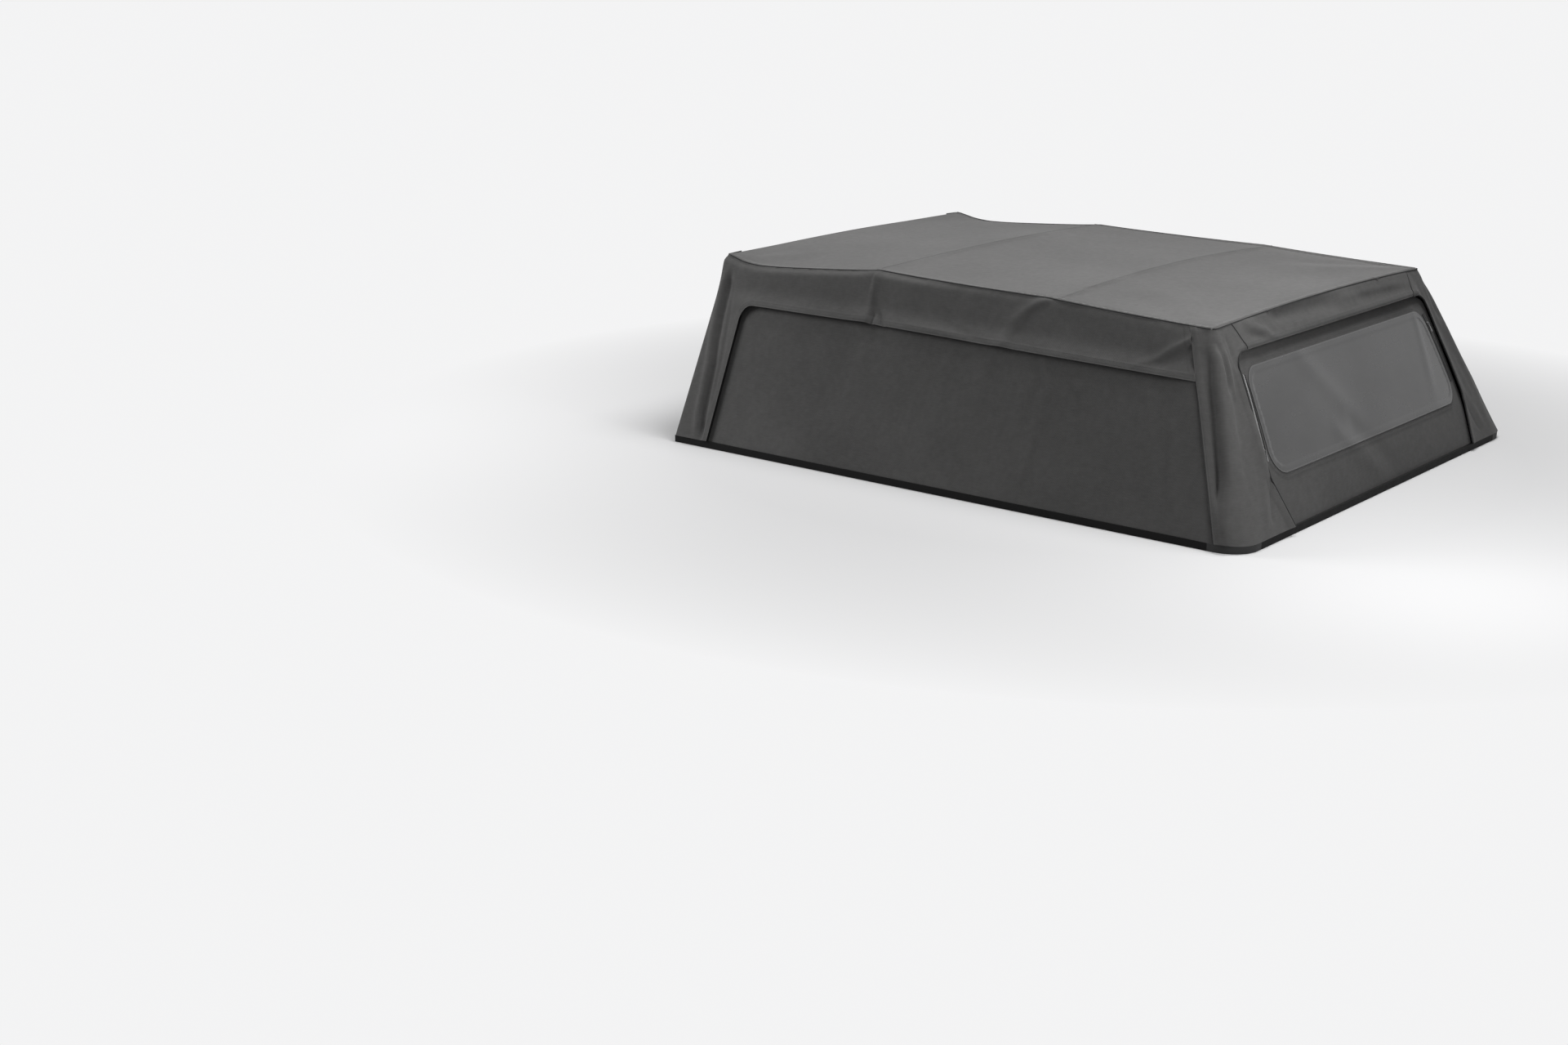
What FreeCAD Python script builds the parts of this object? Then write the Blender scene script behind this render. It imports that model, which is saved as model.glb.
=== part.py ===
"""Soft folding canopy for an open cargo bed, in millimetres.

The part stands on the bed rails at Z = 0. +Y points to the front bulkhead, the rear window faces -Y,
and X = 0 is the middle. Tubular bows carry a fabric roof; the walls are fabric panels that sit on a
frame of low aluminium rails. The left-hand pieces are modelled and the right-hand ones mirror them.
"""
import FreeCAD, Part
import math
import os
import re

import Sketcher
from FreeCAD import Placement, Rotation, Vector

# Driving sizes: alias, value, meaning. Distances "from rear" start at the rear lower edge of the
# fabric, heights "above skirt" at its lower edge, and insets go inward from the outer fabric face.
SIZES = [
    ("canopy_length", 2020, "fabric lower edge, rear to front"),
    ("base_half", 930, "half width at the fabric lower edge"),
    ("skirt", 22, "height of the rails, where the fabric starts"),
    ("cloth", 3, "thickness of a fabric panel with its hems"),
    ("tape", 3, "thickness of the zip tape between two panels"),
    ("lap", 12, "overlap of a zipped panel behind its neighbour"),
    ("seat_gap", 0.3, "clearance between pieces that seat on each other"),
    ("bow_2_at", 1408, "second bow, from rear"),
    ("bow_3_at", 786, "third bow, from rear"),
    ("bow_4_at", 247, "rear bow and rear roof edge, from rear"),
    ("roof_half_1", 667, "half width of the roof at the front edge"),
    ("roof_half_2", 658, "half width of the roof at the second bow"),
    ("roof_half_3", 679, "half width of the roof at the third bow"),
    ("roof_half_4", 693, "half width of the roof at the rear bow"),
    ("seam_1", 551, "roof seam above skirt at the front edge"),
    ("seam_2", 568, "roof seam above skirt at the second bow"),
    ("seam_3", 556, "roof seam above skirt at the third bow"),
    ("seam_4", 532, "roof seam above skirt at the rear bow"),
    ("crown", 12, "rise of the roof's middle above its seams"),
    ("overrun", 52, "wall planes above the second bow's seam, before the roof trims them"),
    ("beyond", 60, "how far the cutting solids run past the outer faces"),
    ("below", 10, "how far the cutting outlines run below the skirt"),
    ("corner_low", 90, "plan radius of the rear corner at the skirt"),
    ("corner_high", 8, "plan radius of the rear corner at the top of the wall planes"),
    ("corner_front", 12, "plan radius of the front corner"),
    ("flap_front", 413, "lower edge of the side flap above skirt, in front"),
    ("flap_rear", 394, "lower edge of the side flap above skirt, behind"),
    ("flap_corner", 10, "radius of the flap's rear lower corner"),
    ("pillar_low", 140, "depth of the front pillar at the skirt"),
    ("pillar_high", 126, "depth of the front pillar at its top"),
    ("pillar_corner", 45, "radius between the pillar and the flap"),
    ("pillar_wrap", 70, "width of the pillar on the front wall"),
    ("zip_low_at", 89, "side zip at the skirt, from rear"),
    ("zip_high_at", 294, "side zip at zip_high, from rear"),
    ("zip_high", 470, "height above skirt for zip_high_at"),
    ("valance_low", 460, "lower edge of the rear valance above skirt"),
    ("valance_half_low", 565, "half width of the valance at its lower edge"),
    ("valance_half_high", 592, "half width of the valance at the roof"),
    ("curtain_half_low", 645, "half width of the rear curtain at the skirt"),
    ("curtain_half_mid", 682, "half width of the rear curtain at curtain_mid"),
    ("curtain_half_top", 642, "half width of the rear curtain at the valance's lower edge"),
    ("curtain_mid", 140, "height above skirt of the curtain's widest place"),
    ("curtain_corner", 48, "radius of the rear curtain's upper corners"),
    ("curtain_belly", 180, "radius at the curtain's widest place"),
    ("window_low", 137, "lower edge of the rear window above skirt"),
    ("window_high", 415, "upper edge of the rear window above skirt"),
    ("window_border_low", 46, "curtain beside the rear window, below"),
    ("window_border_high", 40, "curtain beside the rear window, above"),
    ("window_corner", 62, "corner radius of the rear window"),
    ("front_window_low", 110, "lower edge of the front window above skirt"),
    ("front_window_high", 450, "upper edge of the front window above skirt"),
    ("front_border_low", 108, "front panel beside its window, below"),
    ("front_border_high", 85, "front panel beside its window, above"),
    ("tube_radius", 12.5, "outer radius of the bow tubes, whose bore is closed by the sockets"),
    ("bow_inset", 28, "bow centre line inside the outer fabric face"),
    ("bow_bend", 60, "bend radius at the bow's shoulders"),
    ("pivot_rise", 42, "pivot pins above the bed rails"),
    ("bow_2_pivot", 1408, "pivot of the second bow, from rear"),
    ("bow_3_pivot", 1322, "pivot of the third bow, from rear"),
    ("bow_4_pivot", 1100, "pivot of the rear bow, from rear"),
    ("front_play", 2, "gap between the front bow's sockets and the front wall"),
    ("rear_play", 8, "gap between the rear bow and the curtain behind it"),
    ("rail_reveal", 2, "rail inside the outer fabric face"),
    ("rail_wall", 3, "wall of the rail profiles"),
    ("rail_foot", 66, "width of the rail's foot flange"),
    ("rail_lip", 22, "width of the rail's top lip under the fabric"),
    ("bolt_radius", 4.25, "clamp bolt holes in the side rails"),
    ("bolt_inset", 42, "clamp bolt holes from the rail's outer face"),
    ("bolt_end", 140, "outer clamp bolts, from the ends of the canopy"),
    ("bolt_middle", 250, "inner clamp bolts, from mid length"),
    ("cap_reach", 110, "length of the rear corner caps along both rails"),
    ("socket_wall", 3.2, "wall of the sockets around the bow tubes"),
    ("socket_grip", 34, "length of tube inside a socket"),
    ("socket_heel", 8, "socket barrel below the end of the tube"),
    ("socket_base", 27, "width of a socket's base block"),
    ("socket_length", 44, "length of a socket's base block along the rail"),
]
ALIASES = {alias for alias, value, meaning in SIZES}
WORD = re.compile(r"[a-z_]+[a-z_0-9]*")

doc = FreeCAD.newDocument("Canopy")
sheet = doc.addObject("Spreadsheet::Sheet", "Sizes")
for row, (alias, value, meaning) in enumerate(SIZES, start=1):
    sheet.set(f"A{row}", meaning)
    sheet.set(f"B{row}", str(value))
    sheet.setAlias(f"B{row}", alias)
doc.recompute()
nodes = []


def bound(expression):
    """The expression with each alias written as a cell of the sheet."""
    return WORD.sub(
        lambda word: "Sizes." + word.group() if word.group() in ALIASES else word.group(), str(expression)
    )


def value_of(expression):
    return float(sheet.evalExpression(bound(expression)))


def bind(obj, **properties):
    """Ties properties such as Length or Placement_Base_y to expressions of the sheet's cells."""
    for path, expression in properties.items():
        obj.setExpression(path.replace("_", "."), bound(expression))


def node(obj, label):
    """Names an object as a sub-part that is written to a file of its own."""
    obj.Label = label
    nodes.append(obj)
    return obj


# Sketch planes
def across(y):
    """Plane of a cross-section: sketch x is X, sketch y is Z, at the given Y."""
    return Rotation(Vector(1, 0, 0), 90), {"Placement_Base_y": y}


def side(x):
    """Plane of a side view: sketch x is Y, sketch y is Z, at the given X."""
    return Rotation(Vector(1, 1, 1), 120), {"Placement_Base_x": x}


def plan(z):
    """Horizontal plane at the given Z."""
    return Rotation(), {"Placement_Base_z": z}


def draw(sketch, corners, closed=True):
    """Draws an outline through corners (x, y[, radius]) and ties each of them to the sheet.

    A corner with a radius becomes a tangent arc, held by a construction point where its sides meet.
    """
    spots = [Vector(value_of(c[0]), value_of(c[1]), 0) for c in corners]
    radii = [c[2] if len(c) > 2 else None for c in corners]
    count = len(corners)
    starts, ends, arcs = {}, {}, {}
    for i, (spot, radius) in enumerate(zip(spots, radii)):
        starts[i] = ends[i] = spot
        if radius is None:
            continue
        back = (spots[i - 1] - spot).normalize()
        ahead = (spots[(i + 1) % count] - spot).normalize()
        half = back.getAngle(ahead) / 2
        size = value_of(radius)
        ends[i] = spot + back * (size / math.tan(half))
        starts[i] = spot + ahead * (size / math.tan(half))
        centre = spot + (back + ahead).normalize() * (size / math.sin(half))
        middle = centre + (spot - centre).normalize() * size
        left_turn = ahead.cross(back).z > 0
        first, last = (ends[i], starts[i]) if left_turn else (starts[i], ends[i])
        arcs[i] = Part.Arc(first, middle, last)
    sides = count if closed else count - 1
    lines = {}
    for i in range(sides):
        lines[i] = sketch.addGeometry(Part.LineSegment(starts[i], ends[(i + 1) % count]))

    def pin(geometry, point, corner):
        for kind, part in (("DistanceX", 0), ("DistanceY", 1)):
            place = value_of(corners[corner][part])
            number = sketch.addConstraint(Sketcher.Constraint(kind, -1, 1, geometry, point, place))
            sketch.setExpression(f"Constraints[{number}]", bound(corners[corner][part]))

    for i in range(count):
        before = lines.get((i - 1) % count) if closed or i else None
        after = lines.get(i)
        if i not in arcs:
            if before is not None and after is not None:
                sketch.addConstraint(Sketcher.Constraint("Coincident", before, 2, after, 1))
            pin(after if after is not None else before, 1 if after is not None else 2, i)
            continue
        arc = sketch.addGeometry(arcs[i])
        hold = sketch.addGeometry(Part.Point(spots[i]), True)
        pin(hold, 1, i)
        sketch.addConstraint(Sketcher.Constraint("PointOnObject", hold, 1, before))
        sketch.addConstraint(Sketcher.Constraint("PointOnObject", hold, 1, after))
        forward = (sketch.Geometry[arc].StartPoint - ends[i]).Length < 1e-6
        near, far = (1, 2) if forward else (2, 1)
        sketch.addConstraint(Sketcher.Constraint("Tangent", before, 2, arc, near))
        sketch.addConstraint(Sketcher.Constraint("Tangent", after, 1, arc, far))
        number = sketch.addConstraint(Sketcher.Constraint("Radius", arc, value_of(radii[i])))
        sketch.setExpression(f"Constraints[{number}]", bound(radii[i]))
    return sketch


def outline(name, plane, corners, closed=True):
    """A free sketch of an outline in one of the planes above."""
    sketch = doc.addObject("Sketcher::SketchObject", name)
    turn, place = plane
    sketch.Placement = Placement(Vector(), turn)
    bind(sketch, **place)
    return draw(sketch, corners, closed)


def prism(name, plane, corners, length):
    """The outline carried along its plane's normal, both ways, by the given length in all."""
    solid = doc.addObject("Part::Extrusion", name)
    solid.Base = outline(name + "_outline", plane, corners)
    solid.DirMode = "Normal"
    solid.Solid = True
    solid.Symmetric = True
    bind(solid, LengthFwd=length)
    return solid


def loft(name, sections):
    solid = doc.addObject("Part::Loft", name)
    solid.Sections = sections
    solid.Solid = True
    solid.Ruled = True
    return solid


def cut(base, tool, name):
    result = doc.addObject("Part::Cut", name)
    result.Base, result.Tool = base, tool
    return result


def common(name, *shapes):
    result = doc.addObject("Part::MultiCommon", name)
    result.Shapes = list(shapes)
    return result


def fuse(name, *shapes):
    result = doc.addObject("Part::MultiFuse", name)
    result.Shapes = list(shapes)
    return result


def mirrored(obj, label):
    """The right-hand twin of a left-hand sub-part."""
    twin = doc.addObject("Part::Mirroring", label)
    twin.Source = obj
    twin.Normal = Vector(1, 0, 0)
    return node(twin, label)


# Places worked out from the driving sizes
FRONT_Y = "(canopy_length / 2)"


def from_rear(distance):
    return f"({distance} - canopy_length / 2)"


def above_skirt(height):
    return f"(skirt + {height})"


LOFT_RISE = "(seam_2 + overrun)"
STATIONS = ("canopy_length", "bow_2_at", "bow_3_at", "bow_4_at")
CORNER_FLATS = 5


def wall_half(station):
    """Half width of the walls at LOFT_RISE, on the line from the skirt through the roof seam."""
    return f"(base_half - (base_half - roof_half_{station}) * {LOFT_RISE} / seam_{station})"


# The two bodies that bound every fabric panel: the walls and the room under the roof
def walls(name, inset):
    """Solid inside the four walls, drawn inset from their outer faces."""
    rear_high = f"bow_4_at * {LOFT_RISE} / seam_4"

    def ring(level, height, halves, rear, corner):
        left = [
            (f"-({halves[0]} - ({inset}))", f"{FRONT_Y} - ({inset})", "corner_front"),
            (f"-({halves[1]} - ({inset}))", from_rear("bow_2_at")),
            (f"-({halves[2]} - ({inset}))", from_rear("bow_3_at")),
        ]
        centre = (f"({halves[3]} - {corner})", f"({from_rear(rear)} + {corner})")
        left += round_corner(*centre, f"({corner} - ({inset}))")
        return outline(f"{name}_{level}", plan(height), symmetric(left))

    low = ring("low", "skirt", ["base_half"] * 4, "0", "corner_low")
    halves = [wall_half(station) for station in (1, 2, 3, 4)]
    high = ring("high", above_skirt(LOFT_RISE), halves, rear_high, "corner_high")
    return loft(name, [low, high])


def round_corner(centre_half, centre_y, radius):
    """The rear corner's quarter round, in flats that tessellate to few facets."""
    corners = []
    for step in range(CORNER_FLATS + 1):
        turn = f"{90 * step / CORNER_FLATS}deg"
        corners.append((f"-({centre_half} + {radius} * cos({turn}))", f"{centre_y} - {radius} * sin({turn})"))
    return corners


def symmetric(corners):
    """The left half of an outline, closed by its mirror image."""
    return corners + [(f"-({c[0]})",) + tuple(c[1:]) for c in reversed(corners)]


def room(name, drop):
    """Solid under the roof, its top face lowered from the roof's outer face by a drop."""
    stops = [(1, "canopy_length + beyond"), *enumerate(STATIONS, start=1), (4, "-beyond")]
    sections = []
    for count, (station, place) in enumerate(stops):
        corners = crown_section(f"roof_half_{station}", f"skirt + seam_{station} - ({drop})")
        sections.append(outline(f"{name}_{count}", across(from_rear(f"({place})")), corners))
    return loft(name, sections)


def crown_section(half, seam):
    """A box section under a shallow parabola, whose outer facets run on past the walls."""
    wide = "(base_half + beyond)"
    eaves = f"{seam} - 1.5 * crown * ({wide} - {half}) / {half}"
    crowned = [(f"({share} * {half})", f"{seam} + crown * (1 - {share}^2)") for share in (-0.5, 0, 0.5)]
    return [(f"-{wide}", "skirt"), (f"-{wide}", eaves)] + crowned + [(wide, eaves), (wide, "skirt")]


cover_face = walls("cover_face", "0")
cover_back = walls("cover_back", "cloth")
curtain_face = walls("curtain_face", "cloth + tape")
curtain_back = walls("curtain_back", "cloth + tape + cloth")
roof_room = room("roof_room", "0")
wall_room = room("wall_room", "cloth")

cover_layer = cut(common("cover_solid", cover_face, wall_room), cover_back, "cover_layer")
tape_layer = cut(common("tape_solid", cover_back, wall_room), curtain_face, "tape_layer")
curtain_layer = cut(common("curtain_solid", curtain_face, wall_room), curtain_back, "curtain_layer")


# Outlines of the panels, as prisms that cut the layers
HIGH = above_skirt(f"{LOFT_RISE} + beyond")
LOW = above_skirt("-below")
ZIP_SLOPE = "(zip_high_at - zip_low_at) / zip_high"


def zip_at(height, shift="0"):
    """Y of the side zip's line at a height above the skirt."""
    return f"{from_rear('zip_low_at')} + {ZIP_SLOPE} * ({height}) + ({shift})"


def left_prism(name, corners):
    """A side-view outline carried from the middle to beyond the left wall."""
    return prism(name, side("-(base_half + beyond) / 2"), corners, "base_half + beyond")


def rear_prism(name, corners):
    """An outline on the sloping rear wall, carried far enough to cross that wall alone."""
    return prism(name, across(from_rear("bow_4_at / 2")), corners, "bow_4_at + 2 * beyond")


def front_prism(name, corners):
    """An outline on the upright front wall."""
    return prism(name, across(FRONT_Y), corners, "2 * beyond")


def front_half(height):
    """Half width of the front wall at a height above the skirt."""
    return f"(base_half - (base_half - roof_half_1) * ({height}) / seam_1)"


pillar_top = above_skirt("flap_front")
side_opening = [
    (f"{FRONT_Y} - pillar_low", LOW),
    (f"{FRONT_Y} - pillar_high", pillar_top, "pillar_corner"),
    (from_rear("bow_2_at"), pillar_top),
    (zip_at("flap_rear"), above_skirt("flap_rear")),
    (zip_at("-below"), LOW),
]
side_panel = [
    (f"{FRONT_Y} - pillar_low + lap", LOW),
    (f"{FRONT_Y} - pillar_high + lap", f"{pillar_top} + lap"),
    (zip_at("flap_front + lap", "-lap"), f"{pillar_top} + lap"),
    (zip_at("-below", "-lap"), LOW),
]
rear_strip = [
    (zip_at("-below", "-lap"), LOW),
    (zip_at("-below", "lap"), LOW),
    (zip_at("flap_front + lap", "lap"), f"{pillar_top} + lap"),
    (zip_at("flap_front + lap", "-lap"), f"{pillar_top} + lap"),
]
pillar_strip = [
    (f"{FRONT_Y} - pillar_low - lap", LOW),
    (f"{FRONT_Y} - pillar_low + lap", LOW),
    (f"{FRONT_Y} - pillar_high + lap", f"{pillar_top} + lap"),
    (f"{FRONT_Y} - pillar_high - lap", f"{pillar_top} + lap"),
]
behind_zip = [
    (from_rear("-beyond"), LOW),
    (zip_at("-below"), LOW),
    (zip_at(f"{LOFT_RISE} + beyond"), HIGH),
    (from_rear("-beyond"), HIGH),
]


def rear_outline(grow):
    """The rear curtain's outline, grown or shrunk all round but at its straight lower edge."""
    top = above_skirt(f"valance_low + ({grow})")
    return symmetric([
        (f"-(curtain_half_low + ({grow}))", LOW),
        (f"-(curtain_half_mid + ({grow}))", above_skirt("curtain_mid"), "curtain_belly"),
        (f"-(curtain_half_top + ({grow}))", top, f"curtain_corner + ({grow})"),
    ])


def window_outline(low, high, half_low, half_high):
    return symmetric([
        (f"-{half_low}", above_skirt(low), "window_corner"),
        (f"-{half_high}", above_skirt(high), "window_corner"),
    ])


valance_outline = symmetric([
    ("-valance_half_low", above_skirt("valance_low")),
    ("-(2 * valance_half_high - valance_half_low)", above_skirt("2 * seam_4 - valance_low")),
])
front_outline = symmetric([
    (f"-({front_half('-below')} - pillar_wrap)", LOW),
    (f"-({front_half(LOFT_RISE)} - pillar_wrap)", above_skirt(LOFT_RISE)),
])

side_cut = left_prism("side_cut", side_opening)
side_curtain_cut = left_prism("side_curtain_cut", side_panel)
rear_strip_cut = left_prism("rear_strip_cut", rear_strip)
pillar_strip_cut = left_prism("pillar_strip_cut", pillar_strip)
corner_cut = left_prism("corner_cut", behind_zip)
flap_cut = left_prism("flap_cut", [
    (zip_at("flap_rear"), above_skirt("flap_rear"), "flap_corner"),
    (from_rear("bow_2_at"), pillar_top),
    (f"{FRONT_Y} + beyond", pillar_top),
    (f"{FRONT_Y} + beyond", HIGH),
    (zip_at(f"{LOFT_RISE} + beyond"), HIGH),
])
pillar_cut = left_prism("pillar_cut", [
    (f"{FRONT_Y} - 2 * pillar_low", LOW),
    (f"{FRONT_Y} + beyond", LOW),
    (f"{FRONT_Y} + beyond", pillar_top),
    (f"{FRONT_Y} - 2 * pillar_low", pillar_top),
])
rear_cut = rear_prism("rear_cut", rear_outline("0"))
rear_curtain_cut = rear_prism("rear_curtain_cut", rear_outline("lap"))
rear_inner_cut = rear_prism("rear_inner_cut", rear_outline("-lap"))
valance_cut = rear_prism("valance_cut", valance_outline)
window_cut = rear_prism("window_cut", window_outline(
    "window_low",
    "window_high",
    "(curtain_half_mid - window_border_low)",
    "(curtain_half_top - window_border_high)",
))
front_cut = front_prism("front_cut", front_outline)
front_window_cut = front_prism("front_window_cut", window_outline(
    "front_window_low",
    "front_window_high",
    f"({front_half('front_window_low')} - pillar_wrap - front_border_low)",
    f"({front_half('front_window_high')} - pillar_wrap - front_border_high)",
))


# Fabric panels
def fabric():
    node(cut(common("roof_solid", cover_face, roof_room), wall_room, "roof_deck"), "roof_deck")

    side_frame = cut(common("side_wall", cover_layer, left_half), side_cut, "side_frame")
    side_cover = cut(side_frame, front_cut, "side_cover")
    ahead_of_zip = cut(side_cover, corner_cut, "ahead_of_zip")
    flap = node(common("side_flap_left", ahead_of_zip, flap_cut), "side_flap_left")
    pillar = node(common("front_pillar_left", side_cover, pillar_cut), "front_pillar_left")
    openings = fuse("rear_openings", rear_cut, valance_cut)
    corner = cut(common("rear_corner_wall", side_cover, corner_cut), openings, "rear_corner_left")
    node(corner, "rear_corner_left")
    curtain = node(common("side_curtain_left", curtain_layer, side_curtain_cut), "side_curtain_left")
    side_zip = node(common("side_zip_left", tape_layer, rear_strip_cut), "side_zip_left")
    pillar_zip = node(common("pillar_zip_left", tape_layer, pillar_strip_cut), "pillar_zip_left")
    for piece in (flap, pillar, corner, curtain, side_zip, pillar_zip):
        mirrored(piece, piece.Label.replace("_left", "_right"))

    node(common("rear_valance", cover_layer, valance_cut), "rear_valance")
    panel = common("rear_panel", curtain_layer, rear_curtain_cut)
    node(cut(panel, window_cut, "rear_curtain"), "rear_curtain")
    node(common("rear_window", curtain_layer, window_cut), "rear_window")
    rear_tape = common("rear_tape", tape_layer, rear_curtain_cut)
    node(cut(rear_tape, rear_inner_cut, "rear_zip"), "rear_zip")

    front_panel = common("front_panel_whole", cover_layer, front_cut)
    node(cut(front_panel, front_window_cut, "front_panel"), "front_panel")
    node(common("front_window", front_panel, front_window_cut), "front_window")


left_half = doc.addObject("Part::Box", "left_half")
bind(left_half, Length="base_half + beyond", Placement_Base_x="-(base_half + beyond)")
bind(left_half, Width="canopy_length + 2 * beyond", Placement_Base_y=from_rear("-beyond"))
bind(left_half, Height=HIGH)
fabric()


# Rails
def origin_plane(body, role):
    return [plane for plane in body.Origin.OriginFeatures if plane.Role == role][0]


def body_sketch(body, name, role, corners):
    sketch = body.newObject("Sketcher::SketchObject", name)
    sketch.AttachmentSupport = (origin_plane(body, role), "")
    sketch.MapMode = "FlatFace"
    return draw(sketch, corners)


def profile_body(name, role, corners, length):
    """A body made of one profile carried evenly both ways from an origin plane."""
    body = doc.addObject("PartDesign::Body", name)
    pad = body.newObject("PartDesign::Pad", name + "_pad")
    pad.Profile = body_sketch(body, name + "_profile", role, corners)
    pad.SideType = "Symmetric"
    bind(pad, Length=length)
    body.Tip = pad
    return body


def drill(body, name, spots, radius):
    """Round holes through a body from above, checked by the volume that they take away."""
    sketch = body.newObject("Sketcher::SketchObject", name + "_spots")
    sketch.AttachmentSupport = (origin_plane(body, "XY_Plane"), "")
    sketch.MapMode = "FlatFace"
    for x, y in spots:
        spot = Vector(value_of(x), value_of(y), 0)
        circle = sketch.addGeometry(Part.Circle(spot, Vector(0, 0, 1), value_of(radius)))
        for kind, place in (("DistanceX", x), ("DistanceY", y)):
            number = sketch.addConstraint(Sketcher.Constraint(kind, -1, 1, circle, 3, value_of(place)))
            sketch.setExpression(f"Constraints[{number}]", bound(place))
        number = sketch.addConstraint(Sketcher.Constraint("Radius", circle, value_of(radius)))
        sketch.setExpression(f"Constraints[{number}]", bound(radius))
    doc.recompute()
    before = body.Shape.Volume
    pocket = body.newObject("PartDesign::Pocket", name)
    pocket.Profile = sketch
    pocket.Type = "ThroughAll"
    pocket.Reversed = True
    body.Tip = pocket
    doc.recompute()
    if body.Shape.Volume >= before:
        raise RuntimeError(f"{name} cuts nothing")


RAIL_FACE = "(base_half - rail_reveal)"
RAIL_END = f"({FRONT_Y} - rail_reveal)"
BOLT_REACH = f"{FRONT_Y} - bolt_end"


def channel(outer):
    """Rail profile: a channel that opens inward, with a wide foot and a short top lip."""
    return [
        (f"-{outer}", "0"),
        (f"-{outer} + rail_foot", "0"),
        (f"-{outer} + rail_foot", "rail_wall"),
        (f"-{outer} + rail_wall", "rail_wall"),
        (f"-{outer} + rail_wall", "skirt - rail_wall"),
        (f"-{outer} + rail_lip", "skirt - rail_wall"),
        (f"-{outer} + rail_lip", "skirt"),
        (f"-{outer}", "skirt"),
    ]


def rails():
    rail = doc.addObject("PartDesign::Body", "side_rail")
    pad = rail.newObject("PartDesign::Pad", "side_rail_pad")
    pad.Profile = body_sketch(rail, "side_rail_profile", "XZ_Plane", channel(RAIL_FACE))
    pad.SideType = "Two sides"
    bind(pad, Length=f"{FRONT_Y} - cap_reach", Length2=RAIL_END)
    rail.Tip = pad
    hole_x = f"-{RAIL_FACE} + bolt_inset"
    hole_ys = (f"-({BOLT_REACH})", "-bolt_middle", "bolt_middle", BOLT_REACH)
    drill(rail, "side_rail_bolts", [(hole_x, y) for y in hole_ys], "bolt_radius")
    node(rail, "side_rail_left")
    mirrored(rail, "side_rail_right")

    front_length = f"2 * ({RAIL_FACE} - rail_foot - seat_gap)"
    front = profile_body("rear_bar_twin", "YZ_Plane", channel(RAIL_END), front_length)
    node(turned(front, "front_bar"), "front_bar")
    rear = profile_body("rear_bar", "YZ_Plane", channel(RAIL_END), "2 * (base_half - cap_reach)")
    node(rear, "rear_bar")

    cap = prism("cap_solid", plan("skirt / 2"), [
        (f"-{RAIL_FACE}", f"-{FRONT_Y} + cap_reach - seat_gap"),
        (f"-{RAIL_FACE}", f"-{RAIL_END}", "corner_low - rail_reveal"),
        ("-(base_half - cap_reach) - seat_gap", f"-{RAIL_END}"),
        ("-(base_half - cap_reach) - seat_gap", f"-{RAIL_END} + rail_foot"),
        (f"-{RAIL_FACE} + rail_foot", f"-{RAIL_END} + rail_foot", "rail_lip"),
        (f"-{RAIL_FACE} + rail_foot", f"-{FRONT_Y} + cap_reach - seat_gap"),
    ], "skirt")
    node(cap, "corner_cap_left")
    mirrored(cap, "corner_cap_right")


def turned(obj, name):
    """The same piece turned half round about Z."""
    twin = doc.addObject("Part::Mirroring", name)
    twin.Source = obj
    twin.Normal = Vector(0, 1, 0)
    return twin


rails()


# Bows
def wall_slope(station):
    return f"((base_half - roof_half_{station}) / seam_{station})"


def bow(number, base_at, top_at):
    """A hoop of round tube in its own plane, and the two sockets that hold its feet."""
    name = f"bow_{number}"
    rise = f"(skirt + seam_{number} - cloth - tube_radius - seat_gap - pivot_rise)"
    run = f"(({top_at}) - ({base_at}))"
    slant = f"sqrt({rise}^2 + {run}^2)"
    base_x = f"(base_half - {wall_slope(number)} * (pivot_rise - skirt) - bow_inset)"
    top_x = f"({base_x} - {wall_slope(number)} * {rise})"
    path = outline(name + "_path", across(from_rear(base_at)), [
        (f"-{base_x}", "0"),
        (f"-{top_x}", slant, "bow_bend"),
        ("0", f"{slant} + crown"),
        (top_x, slant, "bow_bend"),
        (base_x, "0"),
    ], closed=False)
    bind(path, Placement_Base_z="pivot_rise", Placement_Rotation_Angle=f"atan2({rise}; {run})")

    def at_foot(kind, name, along="0", **sizes):
        """A round shape square to the leg, which starts at a distance below its foot and runs down."""
        shape = doc.addObject(kind, name)
        shape.AttachmentSupport = (path, "Edge1")
        shape.MapMode = "NormalToEdge"
        bind(shape, AttachmentOffset_Base_z=along, **sizes)
        return shape

    tube = doc.addObject("Part::Sweep", name)
    tube.Sections = [at_foot("Part::Circle", name + "_ring", Radius="tube_radius")]
    tube.Spine = (path, [f"Edge{number}" for number in range(1, 7)])
    tube.Solid = True
    tube.Transition = "Right corner"
    node(tube, name)

    block = doc.addObject("Part::Box", name + "_block")
    bind(block, Length="socket_base", Width="socket_length", Height="pivot_rise - rail_wall",
         Placement_Base_x=f"-{base_x} - socket_base / 2",
         Placement_Base_y=f"{from_rear(base_at)} - socket_length / 2", Placement_Base_z="rail_wall")
    barrel = at_foot("Part::Cylinder", name + "_barrel", "-socket_grip",
                     Radius="tube_radius + socket_wall", Height="socket_heel + socket_grip")
    bore = at_foot("Part::Cylinder", name + "_bore", "-2 * socket_grip",
                   Radius="tube_radius + seat_gap", Height="2 * socket_grip")
    label = f"bow_socket_{number}_left"
    node(cut(fuse(name + "_foot", block, barrel), bore, label), label)
    mirrored(nodes[-1], f"bow_socket_{number}_right")


BOW_1_AT = "canopy_length - cloth - socket_length / 2 - front_play"
bow(1, BOW_1_AT, BOW_1_AT)
bow(2, "bow_2_pivot", "bow_2_at")
bow(3, "bow_3_pivot", "bow_3_at")
bow(4, "bow_4_pivot", "bow_4_at + 2 * cloth + tape + tube_radius + rear_play")

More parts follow.
